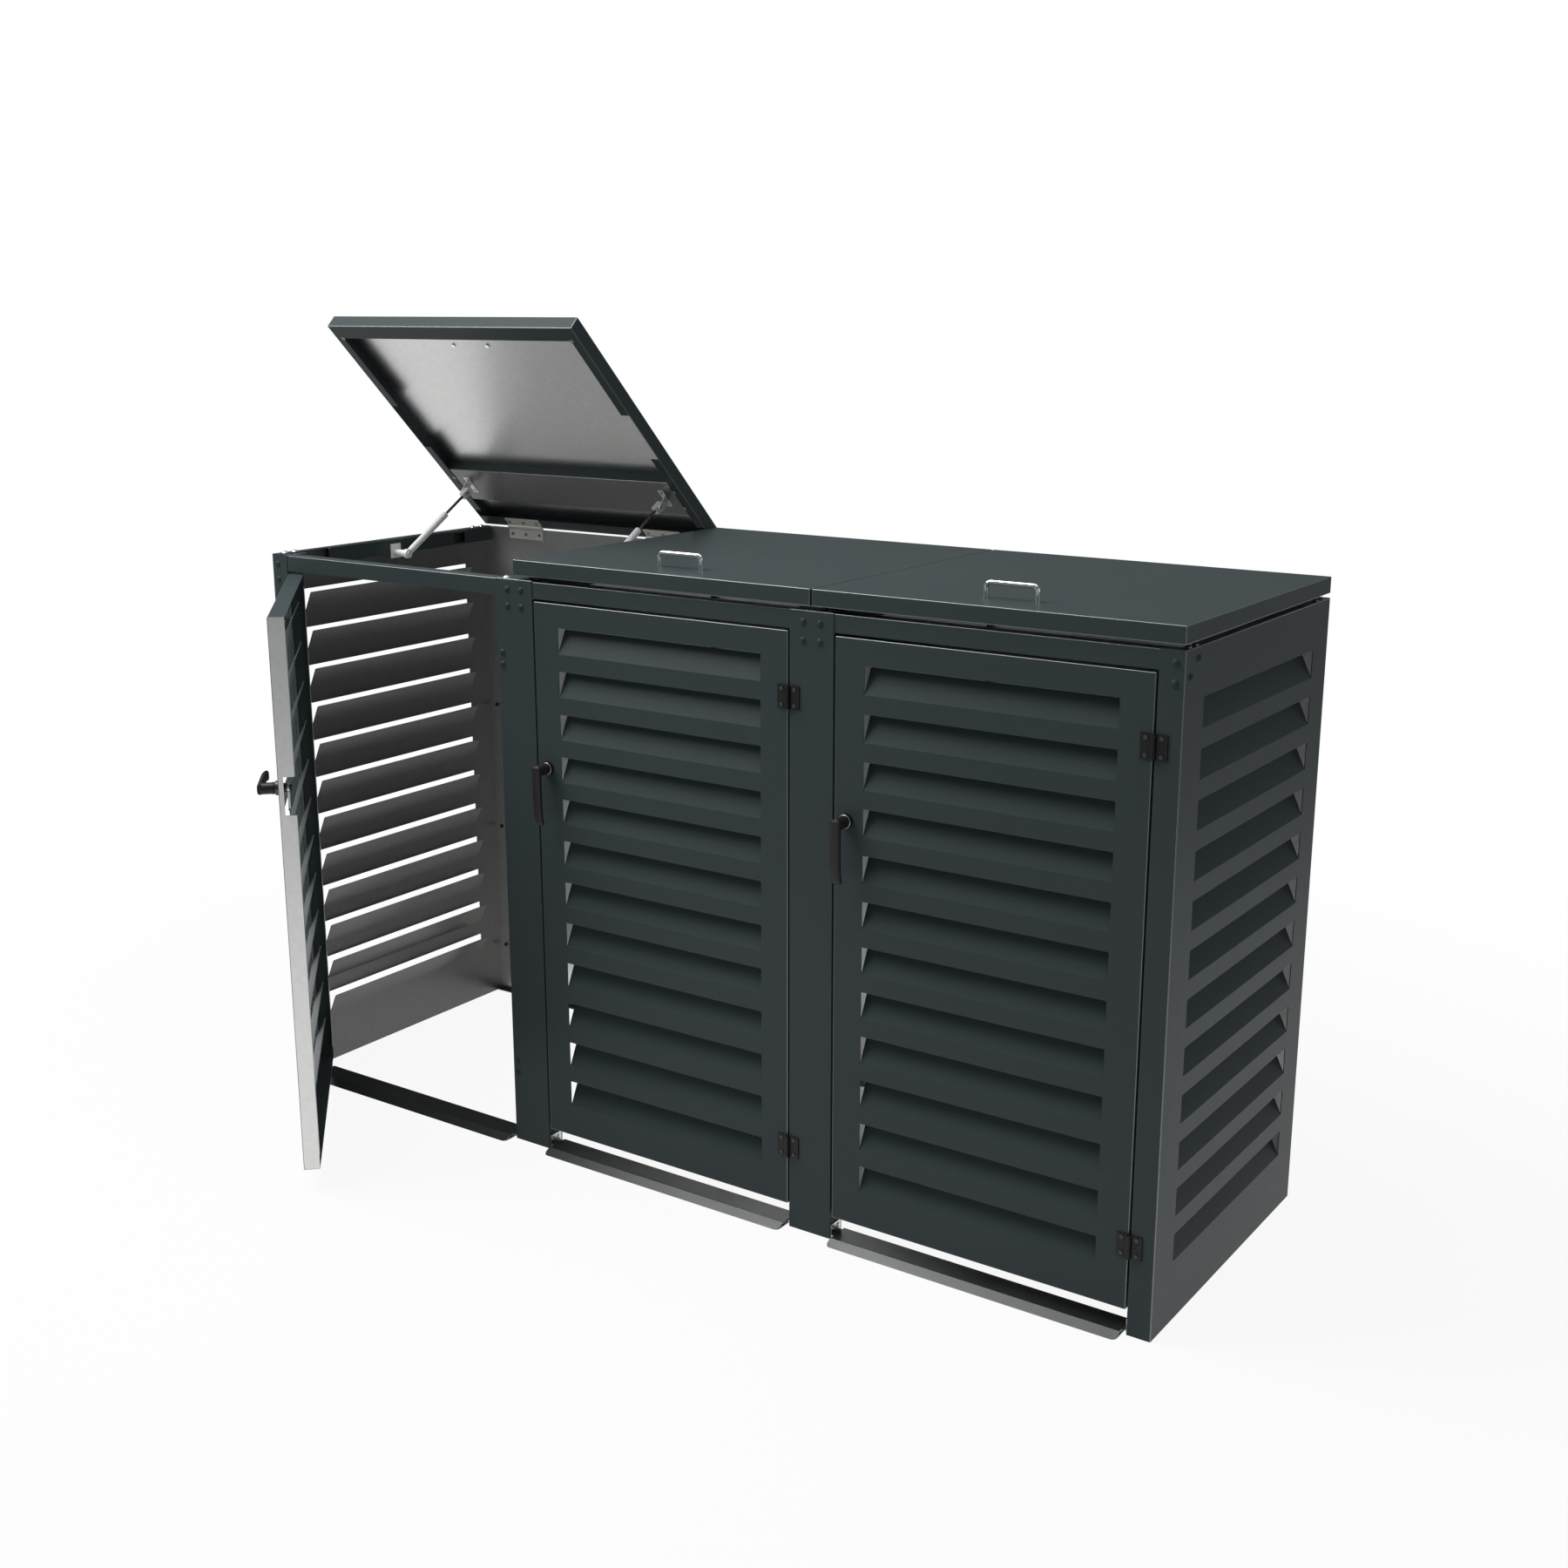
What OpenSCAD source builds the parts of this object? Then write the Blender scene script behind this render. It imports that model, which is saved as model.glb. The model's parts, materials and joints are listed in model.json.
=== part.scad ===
// Three-bay garden store in folded sheet metal, with louvred doors and lifting lids.
// Units are millimetres. X runs along the front, Y towards the back and Z up.
// The origin is on the ground, in the middle of the front plane.
// The left bay stands open: its lid is raised, its door ajar and its lever turned.

/* [Bays] */
// Clear width of a bay between its uprights
bay_w = 598; // [570:1:660]
// Width of a front post
post_w = 91; // [84:1:110]
// Gap between two closed lids
lid_gap = 4; // [3:0.5:8]

/* [Body] */
// Depth of the body from the front plane to the back
body_d = 655; // [600:1:860]
// Height of the body under the lids
body_h = 1176; // [1080:1:1300]
// Thickness of the folded sheets
sheet_t = 1.5; // [1:0.1:2]
// Depth of the folded sides of the posts and corner strips
fold_d = 40; // [36:1:48]
// Width of the strip that a side panel shows at the back
rear_strip_w = 40; // [30:1:60]
// Width of the flange along the top of a side panel
top_flange_w = 18; // [16:1:20]
// Depth of the flanges at the edges of a back panel
back_flange_d = 20; // [14:1:30]

/* [Rails] */
// Height of the front rails over the doors
front_rail_h = 34; // [30:1:40]
// Depth of the top flange of a front rail
front_rail_d = 30; // [24:1:34]
// Height of the side and middle rails
rail_h = 35; // [32:1:40]
// Width of a side rail
side_rail_w = 20; // [16:1:24]
// Distance from the front plane to the start of a side rail
side_rail_y = 140; // [110:1:180]
// Width of a middle rail
mid_rail_w = 24; // [18:1:30]

/* [Louvres] */
// Number of louvres in a panel
louvre_count = 12; // [8:1:13]
// Height of a louvre's window
window_h = 50.5; // [44:0.5:54]
// Corner radius of a window
window_r = 2.5; // [1:0.5:6]
// Slit over the top edge of a louvre flap
slit_h = 5.2; // [3:0.1:9]
// Lean of a louvre flap from upright, in degrees
flap_tilt = 25; // [15:1:30]
// Door face over the first window
window_top_margin = 46; // [40:1:60]
// Door face under the last window
window_foot_margin = 68; // [60:1:90]
// Door face beside the windows
window_side_margin = 58.75; // [50:0.25:70]
// Side panel in front of its windows
side_front_margin = 80; // [70:1:100]
// Side panel behind its windows
side_rear_margin = 74; // [60:1:90]

/* [Doors] */
// Gap at each side of a door
door_gap = 4; // [3:0.5:6]
// Gap over a door
door_top_gap = 5; // [3:0.5:8]
// Height of a door's foot over the ground
door_foot = 46; // [30:1:60]
// Thickness of a door over its folded edges
door_d = 31; // [28:1:34]
// Width of the folded lip behind the upright edges of a door
door_lip_w = 20; // [12:1:26]
// Opening of the left door, in degrees
left_door_open = 45; // [0:1:110]
// Turn of the left door's lever, in degrees
left_lever_turn = 90; // [0:1:90]

/* [Door hinges] */
// Width of one leaf of a door hinge
door_leaf_w = 23; // [20:1:26]
// Height of a door hinge
door_leaf_h = 42; // [36:1:60]
// Distance from a door's top edge to the middle of its upper hinge
hinge_top_drop = 117.5; // [90:0.5:160]
// Distance from a door's foot to the middle of its lower hinge
hinge_foot_rise = 118.5; // [90:0.5:160]

/* [Latch] */
// Distance from a door's free edge to the lever's axis
latch_in = 25; // [22:1:30]
// Height of the lever's axis over the ground
latch_z = 812; // [700:1:880]
// Length of the lever under its axis
lever_l = 109; // [80:1:130]
// Width of the lever
lever_w = 20; // [16:1:26]
// Reach of the lever from the door's face
lever_reach = 40; // [34:1:56]
// Reach of the cam from its axis
cam_l = 45; // [40:1:48]
// Width of the cam
cam_w = 14; // [13:1:16]

/* [Lids] */
// Height of a lid's folded rim
lid_h = 30; // [26:1:36]
// Gap between the body and a closed lid
lid_lift = 8.5; // [8:0.5:12]
// Overhang of a lid past the front plane
lid_nose = 3; // [1:0.5:10]
// Width of the return under a lid's front edge
lid_front_return = 36; // [24:1:44]
// Width of the returns under a lid's side edges
lid_side_return = 22; // [16:1:26]
// Opening of the left lid, in degrees
left_lid_open = 45; // [0:1:45]
// Distance from the back to the front web of a lid's brace
brace_back = 197; // [185:1:215]
// Width of a lid's brace from front to back
brace_w = 105; // [90:1:120]
// Distance between the fixings of a lid's handle
handle_pitch = 96; // [64:1:160]
// Height of a lid's handle
handle_h = 31; // [26:1:45]
// Thickness of a lid handle's bar
handle_bar_d = 9; // [7:0.5:12]
// Distance from the front plane to a lid's handle
handle_y = 79; // [60:1:120]

/* [Lid hinges] */
// Length of a lid hinge
lid_leaf_l = 104.5; // [80:0.5:140]
// Distance from a lid's side to its hinge
lid_leaf_in = 82; // [60:1:110]
// Width of a lid hinge leaf that shows on the back panel
lid_leaf_w = 24.5; // [22:0.5:30]
// Radius of a lid hinge's knuckles
lid_knuckle_r = 4; // [3.5:0.1:4.2]

/* [Struts] */
// Distance from a bay's side to the plane of its strut
strut_in = 16; // [14:1:24]
// Distance from the back to a strut's lower pivot
strut_foot_back = 319; // [315:1:329]
// Drop of a strut's lower pivot under the body's top
strut_foot_drop = 31; // [28:1:33]
// Distance from the back to a strut's upper pivot, with the lid closed
strut_head_back = 150; // [143:1:155]
// Drop of a strut's upper pivot under a closed lid's rim
strut_head_drop = 28.5; // [26:0.5:32]
// Length of a strut's tube from its pivot
tube_l = 147; // [130:1:148]
// Radius of a strut's tube
tube_r = 7.5; // [6.5:0.25:10]
// Radius of a strut's rod
rod_r = 3; // [2.5:0.25:4]

/* [Sills] */
// Gap at each end of a sill
sill_end_gap = 8; // [6:0.5:12]
// Height of a sill
sill_h = 9; // [8:0.5:14]
// Reach of a sill's toe past the front plane
sill_toe = 28.5; // [20:0.5:40]
// Distance from the front plane out to a sill's crest
sill_crest = 10; // [4:0.5:14]
// Depth of a sill behind the front plane
sill_d = 38; // [34:1:44]
// Thickness of a sill's sheet
sill_t = 2; // [1.5:0.1:2.5]

/* [Fixings] */
// Shank radius of the dome bolts
bolt_r = 2.5; // [2:0.1:3]
// Head radius of the dome bolts
bolt_head_r = 7; // [6:0.25:8]
// Head height of the dome bolts
bolt_head_h = 3.8; // [3:0.2:4.6]
// Radius of the ground anchor holes
anchor_r = 5; // [4:0.5:6]

/* [Hidden] */
$fn = 48;
// Overrun of a cut past the face it opens
cut = 0.5;
// Running clearance round a hinge pin, a spindle or a rod
fit = 0.05;
// Clearance round a screw or bolt in its hole
hole_fit = 0.1;
// Running gap beside moving knuckles and eyes
play = 0.3;
// Clearance between a louvre flap and the ends of its window
flap_gap = 0.5;
// Colours
paint = [0.19, 0.21, 0.22];
bare_metal = [0.72, 0.72, 0.71];
zinc = [0.80, 0.81, 0.82];
black = [0.10, 0.10, 0.11];
chrome = [0.86, 0.87, 0.88];

// Main places of the body
pitch = bay_w + post_w;
bay_xs = [-pitch, 0, pitch];
post_xs = [-pitch / 2, pitch / 2];
lid_w = pitch - lid_gap;
half_w = pitch + lid_w / 2;
strip_w = (post_w - lid_gap) / 2;
wall_x = half_w - sheet_t;
rail_top = body_h - sheet_t;
front_rail_z = body_h - front_rail_h;
fold_top = front_rail_z - sheet_t;
back_y = body_d - 2 * sheet_t;
rail_z = body_h - rail_h;

// Front rails run behind the posts and strips, and their ends stop short of each other
rail_end_gap = 8;
front_rail_l = pitch - rail_end_gap;
front_rail_foot_d = 20;
// Inward lips along the rear edges of a post
post_lip_w = 12;
// Window in a side rail, from the back and along it
rail_window_back = 91;
rail_window_l = 38;
rail_window_margin = 6;

// Doors, built closed in the middle of a bay with their hinges on the right
door_w = bay_w - 2 * door_gap;
door_top = front_rail_z - door_top_gap;
door_h = door_top - door_foot;
door_lip_short = 25;
door_hinge_x = (bay_w - door_gap) / 2;
door_hinge_y = -5;
door_hinge_zs = [door_foot + hinge_foot_rise, door_top - hinge_top_drop];
door_leaf_t = 2.5;
door_knuckle_r = 4;
door_pin_r = 2;
door_screw_dx = 13.5;
door_screw_dz = door_leaf_h / 2 - 6.5 / 42 * door_leaf_h;
screw_r = 2;
screw_head_r = 3.6;
screw_head_h = 1.6;
screw_l = 7;

// Louvres
window_zone = door_h - window_top_margin - window_foot_margin;
window_step = (window_zone - window_h) / (louvre_count - 1);
window_z0 = door_foot + window_foot_margin;
flap_l = (window_h - slit_h) / cos(flap_tilt);
door_windows = [window_side_margin - door_w / 2, door_w / 2 - window_side_margin];
side_windows = [side_front_margin, body_d - side_rear_margin];

// Latch
latch_x = latch_in - door_w / 2;
rose_r = 14;
rose_h = 6;
latch_body_r = 9;
latch_nut_r = 13;
latch_nut_h = 4;
cam_y = 15;
cam_t = 4;
spindle_r = 6;
lever_neck_r = 9;
cam_nut_r = 9;
cam_nut_h = 4;
// Cut in the door's free edge and slot in the upright, round the cam's swing
cam_room_up = 26;
cam_room_down = 48;
strike_up = 12;
strike_down = 50;
cam_room_y = 5;
strike_y = 4;
// Side outline of the lever: shares of its reach, and of its length from the axis down
lever_side_shares = [[0.74, -0.10], [0.93, -0.10], [1.00, -0.04], [1.00, 0.10], [0.95, 0.30],
    [0.93, 0.60], [0.90, 0.84], [0.84, 0.94], [0.72, 1.00], [0.62, 0.98], [0.64, 0.92],
    [0.71, 0.86], [0.74, 0.76], [0.74, 0.30], [0.66, 0.08], [0.66, -0.02]];

// Lids, built closed over the middle of a bay
lid_z0 = body_h + lid_lift;
lid_z1 = lid_z0 + lid_h;
lid_y0 = -lid_nose;
lid_back_in = 1;
lid_y1 = body_d - lid_back_in;
lid_rear_return = 29;
lid_rear_return_y = lid_y1 - lid_rear_return;
brace_y = body_d - brace_back;
brace_end_gap = 1;
lid_screw_r = 2.5;
lid_screw_head_r = 4.5;
lid_screw_head_h = 2.5;
handle_bend_r = 9;

// Lid hinges: the axis lies over the back panel's inner face
lid_hinge_y = back_y - lid_knuckle_r;
lid_hinge_z = lid_z0 - lid_knuckle_r - play;
lid_leaf_t = 2;
lid_pin_r = 2;
lid_leaf_drop = 29;
lid_screw_step = 41;
lid_screw_drop = 13.5;
lid_screw_z = body_h - lid_screw_drop;
lid_screw_back = 12;

// Struts lie in upright planes beside the bay's sides
strut_x = bay_w / 2 - strut_in;
strut_foot_y = body_d - strut_foot_back;
strut_head_y = body_d - strut_head_back;
strut_foot_z = body_h - strut_foot_drop;
strut_head_z = lid_z0 - strut_head_drop;
stud_r = 4;
stud_sleeve_r = 7.5;
eye_r = 10;
eye_w = 10;
stud_cap_r = 6.5;
stud_cap_t = 2.5;
stud_plate_t = 2;
stud_plate_w = 30;
stud_plate_h = 32;
stud_plate_drop = 12;
tube_start = 12;
tube_floor = 16;
rod_start = 20;
rod_block_l = 24;
rod_block_h = 16;
rod_block_w = 12;
tab_t = 2;
tab_gap = 2;
tab_r = 8;
lid_plate_front = 22;
lid_plate_rear = 29;
lid_plate_y = [strut_head_y - lid_plate_front, strut_head_y + lid_plate_rear];
lid_plate_w = 14;
lid_plate_t = sheet_t;
lid_slot_w = 5;
lid_slot_l = 9;
lid_slot_in = 8;
// The side returns of a lid stop for the strut's foot, and again before the hinges
return_gap_front = 91;
return_gap_rear = 44;
side_return_gap = [strut_foot_y - return_gap_front, strut_foot_y + return_gap_rear];
side_return_back = 52;
side_return_end = lid_y1 - side_return_back;

// Fixings
nut_r = 4.6;
nut_h = 4;
bolt_tail = 2;
bracket_t = 2;
bracket_foot = 68;
bracket_half_w = 40;
bracket_in = 4;
bracket_leg = 70;
bracket_top_w = 26;
post_bolt_dx = 17.5;
bolt_drops = [21, 53.5];
bolt_rows = [for (drop = bolt_drops) body_h - drop];
strip_bolt_in = 16.5;
edge_bolt_in = 10.5;
edge_bolt_drops = [146, 169.3];
edge_bolt_rises = [176, 149.3];
edge_bolt_zs = concat([for (drop = edge_bolt_drops) body_h - drop], edge_bolt_rises);
side_bolt_places = [[50.6, 19.3], [21.1, 45.2]];
side_bolts = [for (place = side_bolt_places) [place[0], body_h - place[1]]];
rear_bolt_in = 20;
rear_bolt_shares = [0.102, 0.366, 0.629, 0.893];
rear_bolt_zs = [for (share = rear_bolt_shares) share * body_h];
top_bolt_in = 9.5;
top_bolt_front_ys = [27, 54];
top_bolt_backs = [53, 23];
top_bolt_rear_ys = [for (back = top_bolt_backs) body_d - back];
top_bolt_post = [31.5, 15];
front_bolts = concat(
    [for (p = post_xs, s = [-1, 1], z = bolt_rows) [p + s * post_bolt_dx, z]],
    [for (s = [-1, 1], z = bolt_rows) [s * (half_w - strip_bolt_in), z]]);
edge_bolts = [for (z = edge_bolt_zs) [post_xs[0] - post_w / 2 + edge_bolt_in, z]];
rear_bolts = [for (s = [-1, 1], z = rear_bolt_zs) [s * (half_w - rear_bolt_in), z]];
front_grip = 2 * sheet_t + bracket_t;

// Feet and sills
foot_t = 3;
foot_leg_h = 25;
anchor_y = 20;
sill_l = bay_w - 2 * sill_end_gap;
sill_return = 12;
sill_corner_r = 10;
sill_leg_h = 28;
sill_leg_y = [3, 35];
sill_shelf = 30;
sill_screw_ys = [11, 27];
sill_screw_z = 19;
sill_screw_l = 6;

// Angle and length of a strut with its lid closed, and with the lid at an angle
function head_at(open) = let (y = strut_head_y - lid_hinge_y, z = strut_head_z - lid_hinge_z)
    [lid_hinge_y + y * cos(open) + z * sin(open), lid_hinge_z - y * sin(open) + z * cos(open)];
function strut_span(open) = head_at(open) - [strut_foot_y, strut_foot_z];
function strut_angle(open) = atan2(strut_span(open)[1], strut_span(open)[0]);
function strut_length(open) = norm(strut_span(open));

// How far each bay stands open: its lid, its door and its lever
function lid_open(bay) = bay == 0 ? left_lid_open : 0;
function door_open(bay) = bay == 0 ? left_door_open : 0;
function lever_turn(bay) = bay == 0 ? left_lever_turn : 0;

// Box between two corners, given as ranges along X, Y and Z
module block(x, y, z) {
    translate([x[0], y[0], z[0]]) cube([x[1] - x[0], y[1] - y[0], z[1] - z[0]]);
}

// Mirrors the right-hand piece to the left
module sided(side) {
    if (side < 0) mirror([1, 0, 0]) children();
    else children();
}

// Stands a flat outline up, facing the front, from y inwards
module upright(y, depth) {
    translate([0, y + depth, 0]) rotate([90, 0, 0]) linear_extrude(depth) children();
}

// Runs an outline in Y and Z along X
module along_x(x, length) {
    translate([x, 0, 0]) rotate([90, 0, 90]) linear_extrude(length) children();
}

// Puts a closed lid's piece over its bay, at the lid's opening
module on_lid(bay) {
    translate([bay_xs[bay], lid_hinge_y, lid_hinge_z]) rotate([-lid_open(bay), 0, 0])
        translate([0, -lid_hinge_y, -lid_hinge_z]) children();
}

// Puts a closed door's piece in its bay, at the door's opening
module on_door(bay) {
    translate([bay_xs[bay], 0, 0]) sided(bay == 0 ? -1 : 1)
        translate([door_hinge_x, door_hinge_y, 0]) rotate([0, 0, door_open(bay)])
            translate([-door_hinge_x, -door_hinge_y, 0]) children();
}

// Turns a piece of the latch with its lever
module on_lever(bay) {
    on_door(bay) translate([latch_x, 0, latch_z]) rotate([0, -lever_turn(bay), 0]) children();
}

// Window outline with round upper corners
module window_outline(width, height) {
    square([width, height - window_r]);
    translate([window_r, 0]) square([width - 2 * window_r, height]);
    for (x = [window_r, width - window_r]) translate([x, height - window_r]) circle(window_r);
}

module windows(x) {
    for (i = [0 : louvre_count - 1]) translate([x[0], 0, window_z0 + i * window_step])
        upright(-cut, sheet_t + 2 * cut) window_outline(x[1] - x[0], window_h);
}

// Flaps folded inwards about the foot of each window
module flaps(x) {
    for (i = [0 : louvre_count - 1])
        translate([x[0] + flap_gap, 0, window_z0 + i * window_step]) rotate([-flap_tilt, 0, 0])
            upright(0, sheet_t) window_outline(x[1] - x[0] - 2 * flap_gap, flap_l);
}

// Bolt with a dome head below z = 0 and a nut above its grip
module dome_bolt(grip) {
    dome_r = (bolt_head_r * bolt_head_r + bolt_head_h * bolt_head_h) / (2 * bolt_head_h);
    intersection() {
        translate([0, 0, dome_r - bolt_head_h]) sphere(dome_r);
        translate([0, 0, -bolt_head_h]) cylinder(r = bolt_head_r, h = bolt_head_h);
    }
    cylinder(r = bolt_r, h = grip + nut_h + bolt_tail);
    translate([0, 0, grip]) cylinder(r = nut_r, h = nut_h, $fn = 6);
}

// Screw with a flat round head, seated a hair below z = 0
module screw(head_r, head_h, length) {
    translate([0, 0, -head_h - fit]) union() {
        cylinder(r = head_r, h = head_h);
        cylinder(r = screw_r, h = head_h + length);
    }
}

module at_front(places) {
    for (p = places) translate([p[0], 0, p[1]]) rotate([-90, 0, 0]) children();
}

module at_back(places) {
    for (p = places) translate([p[0], body_d, p[1]]) rotate([90, 0, 0]) children();
}

module at_sides() {
    for (s = [-1, 1], p = side_bolts) sided(s)
        translate([half_w, p[0], p[1]]) rotate([0, -90, 0]) children();
}

module at_top(places) {
    for (p = places) translate([p[0], p[1], body_h]) rotate([180, 0, 0]) children();
}

top_front_places = [for (s = [-1, 1], y = top_bolt_front_ys) [s * (half_w - top_bolt_in), y]];
top_rear_places = [for (s = [-1, 1], y = top_bolt_rear_ys) [s * (half_w - top_bolt_in), y]];
top_post_places = [for (p = post_xs, s = [-1, 1]) [p + s * top_bolt_post[0], top_bolt_post[1]]];

// Holes for every bolt of the frame
module bolt_hole() {
    translate([0, 0, -cut]) cylinder(r = bolt_r + hole_fit, h = front_grip + 2 * cut);
}

module bolt_holes() {
    at_front(concat(front_bolts, edge_bolts)) bolt_hole();
    at_back(rear_bolts) bolt_hole();
    at_sides() bolt_hole();
    at_top(concat(top_front_places, top_rear_places, top_post_places)) bolt_hole();
}

// Places of the hinge screws, on one leaf of a door hinge
module at_door_screws(side) {
    for (z = door_hinge_zs, s = [-1, 1])
        translate([door_hinge_x + side * door_screw_dx, -door_leaf_t, z + s * door_screw_dz])
            rotate([-90, 0, 0]) children();
}

module door_screw_holes(side) {
    at_door_screws(side) translate([0, 0, -cut])
        cylinder(r = screw_r + hole_fit, h = screw_l + 2 * cut);
}

// Frame side of the door hinges, for each bay
module frame_hinge_side(bay) {
    translate([bay_xs[bay], 0, 0]) sided(bay == 0 ? -1 : 1) children();
}

module frame_hinge_holes() {
    for (bay = [0 : 2]) frame_hinge_side(bay) door_screw_holes(1);
}

// Screws that hold the sill brackets to the folded sides of the bay
module at_sill_screws() {
    for (x = bay_xs, s = [-1, 1], y = sill_screw_ys) translate([x, 0, 0]) sided(s)
        translate([bay_w / 2 - bracket_t, y, sill_screw_z]) rotate([0, 90, 0]) children();
}

module sill_screw_holes() {
    at_sill_screws() translate([0, 0, -cut])
        cylinder(r = screw_r + hole_fit, h = sill_screw_l + 2 * cut);
}

// Side panel: louvred wall, corner strips and a flange along the top
module side_panel(side) {
    color(paint) difference() {
        sided(side) union() {
            difference() {
                union() {
                    block([wall_x, half_w], [0, body_d], [0, body_h]);
                    block([half_w - strip_w, half_w], [0, sheet_t], [0, body_h]);
                    block([half_w - strip_w, half_w - strip_w + sheet_t], [0, fold_d],
                        [0, fold_top]);
                    block([half_w - rear_strip_w, half_w], [body_d - sheet_t, body_d],
                        [0, body_h]);
                    block([half_w - top_flange_w, half_w], [0, back_y], [rail_top, body_h]);
                }
                translate([half_w, 0, 0]) rotate([0, 0, 90]) windows(side_windows);
            }
            translate([half_w, 0, 0]) rotate([0, 0, 90]) flaps(side_windows);
        }
        bolt_holes();
        frame_hinge_holes();
        sill_screw_holes();
    }
}

// Back panel between the bay lines, with its edges folded inwards
module back_panel(bay) {
    seam = sheet_t / 6;
    x0 = bay == 0 ? -wall_x : bay_xs[bay] - pitch / 2 + seam;
    x1 = bay == 2 ? wall_x : bay_xs[bay] + pitch / 2 - seam;
    front = back_y - back_flange_d;
    color(paint) difference() {
        union() {
            block([x0, x1], [back_y, back_y + sheet_t], [0, body_h]);
            block([x0, x1], [front, back_y + sheet_t], [0, sheet_t]);
            if (bay > 0) block([x0, x0 + sheet_t], [front, back_y], [0, body_h]);
            if (bay < 2) block([x1 - sheet_t, x1], [front, back_y], [0, body_h]);
        }
        bolt_holes();
        at_lid_leaf_screws(bay) translate([0, 0, -cut])
            cylinder(r = screw_r + hole_fit, h = screw_l + 2 * cut);
    }
}

// Front post: a folded channel, with a slot in each side for a cam that closes on it
module front_post(index) {
    x = post_xs[index];
    half = post_w / 2;
    color(paint) difference() {
        translate([x, 0, 0]) union() {
            block([-half, half], [0, sheet_t], [0, body_h]);
            block([-half, half], [0, fold_d], [rail_top, body_h]);
            for (s = [-1, 1]) sided(s) {
                block([half - sheet_t, half], [0, fold_d], [0, fold_top]);
                block([half - post_lip_w, half], [fold_d - sheet_t, fold_d], [0, fold_top]);
            }
        }
        bolt_holes();
        frame_hinge_holes();
        sill_screw_holes();
        strike_slot(x + half);
        if (index == 0) strike_slot(x - half);
    }
}

module strike_slot(x) {
    block([x - 2 * sheet_t, x + 2 * sheet_t], [cam_y - strike_y, cam_y + cam_t + strike_y],
        [latch_z - strike_down, latch_z + strike_up]);
}

// Front rail: its web runs behind the posts and strips
module front_rail(bay) {
    half = front_rail_l / 2;
    color(paint) difference() {
        translate([bay_xs[bay], 0, 0]) union() {
            block([-half, half], [sheet_t, 2 * sheet_t], [front_rail_z, rail_top]);
            block([-half, half], [sheet_t, front_rail_d + sheet_t],
                [rail_top - sheet_t, rail_top]);
            block([-bay_w / 2, bay_w / 2], [sheet_t, front_rail_foot_d + sheet_t],
                [front_rail_z, front_rail_z + sheet_t]);
        }
        bolt_holes();
    }
}

// Sill: a folded threshold with its return under the toe
module sill(bay) {
    run = sill_toe - sill_crest;
    upright_t = sill_t * norm([run, sill_h]) / run;
    function under(z) = -sill_toe + (z + upright_t) * run / sill_h;
    color(paint) translate([bay_xs[bay], 0, 0]) intersection() {
        along_x(-sill_l / 2, sill_l) polygon([[-sill_toe, 0], [-sill_crest, sill_h],
            [sill_d, sill_h], [sill_d, 0], [sill_d - sill_t, 0],
            [sill_d - sill_t, sill_h - sill_t], [under(sill_h - sill_t), sill_h - sill_t],
            [under(sill_t), sill_t], [sill_return, sill_t], [sill_return, 0]]);
        translate([0, 0, -cut]) linear_extrude(sill_h + 2 * cut) sill_plan();
    }
}

// Plan of a sill, with round corners at the toe
module sill_plan() {
    half = sill_l / 2;
    translate([-half, sill_corner_r - sill_toe]) square([sill_l, sill_d + sill_toe]);
    translate([sill_corner_r - half, -sill_toe]) square([sill_l - 2 * sill_corner_r, sill_toe]);
    for (s = [-1, 1]) translate([s * (half - sill_corner_r), sill_corner_r - sill_toe])
        circle(sill_corner_r);
}

// Side rail: a channel open to the side panel, with a window near the back
module side_rail(side) {
    inner = wall_x - side_rail_w;
    window_y1 = back_y - rail_window_back;
    color(paint) difference() {
        sided(side) difference() {
            union() {
                block([inner, inner + sheet_t], [side_rail_y, back_y], [rail_z, rail_top]);
                block([inner, wall_x], [side_rail_y, back_y], [rail_top - sheet_t, rail_top]);
                block([inner, wall_x], [side_rail_y, back_y], [rail_z, rail_z + sheet_t]);
            }
            block([inner - cut, inner + sheet_t + cut], [window_y1 - rail_window_l, window_y1],
                [rail_z + rail_window_margin, rail_top - rail_window_margin]);
        }
        bolt_holes();
    }
}

// Middle rails: channels from the posts to the back, under the gaps between the lids
module mid_rails() {
    half = mid_rail_w / 2;
    y = [front_rail_d + 2 * sheet_t, back_y - back_flange_d];
    color(paint) for (x = post_xs) translate([x, 0, 0]) union() {
        block([-half, half], y, [rail_top - sheet_t, rail_top]);
        for (s = [-1, 1]) sided(s) block([half - sheet_t, half], y, [rail_z, rail_top]);
    }
}

// Brackets behind the bolts at the tops of the posts and corner strips
module corner_brackets() {
    z0 = body_h - bracket_foot;
    z1 = rail_top - sheet_t - bracket_t;
    back = front_grip;
    side_x = wall_x - bracket_t;
    strip_x = half_w - strip_w + sheet_t + bracket_in;
    color(zinc) difference() {
        union() {
            for (x = post_xs) translate([x, 0, 0]) union() {
                block([-bracket_half_w, bracket_half_w], [2 * sheet_t, back], [z0, z1]);
                block([-bracket_half_w, bracket_half_w], [sheet_t, back], [z0, fold_top]);
            }
            for (s = [-1, 1]) sided(s) union() {
                block([strip_x, wall_x], [2 * sheet_t, back], [z0, z1]);
                block([strip_x, wall_x], [sheet_t, back], [z0, fold_top]);
                block([side_x, wall_x], [2 * sheet_t, bracket_leg], [z0, z1]);
                block([wall_x - bracket_top_w, wall_x], [2 * sheet_t, bracket_leg],
                    [z1, z1 + bracket_t]);
            }
        }
        bolt_holes();
    }
}

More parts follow.
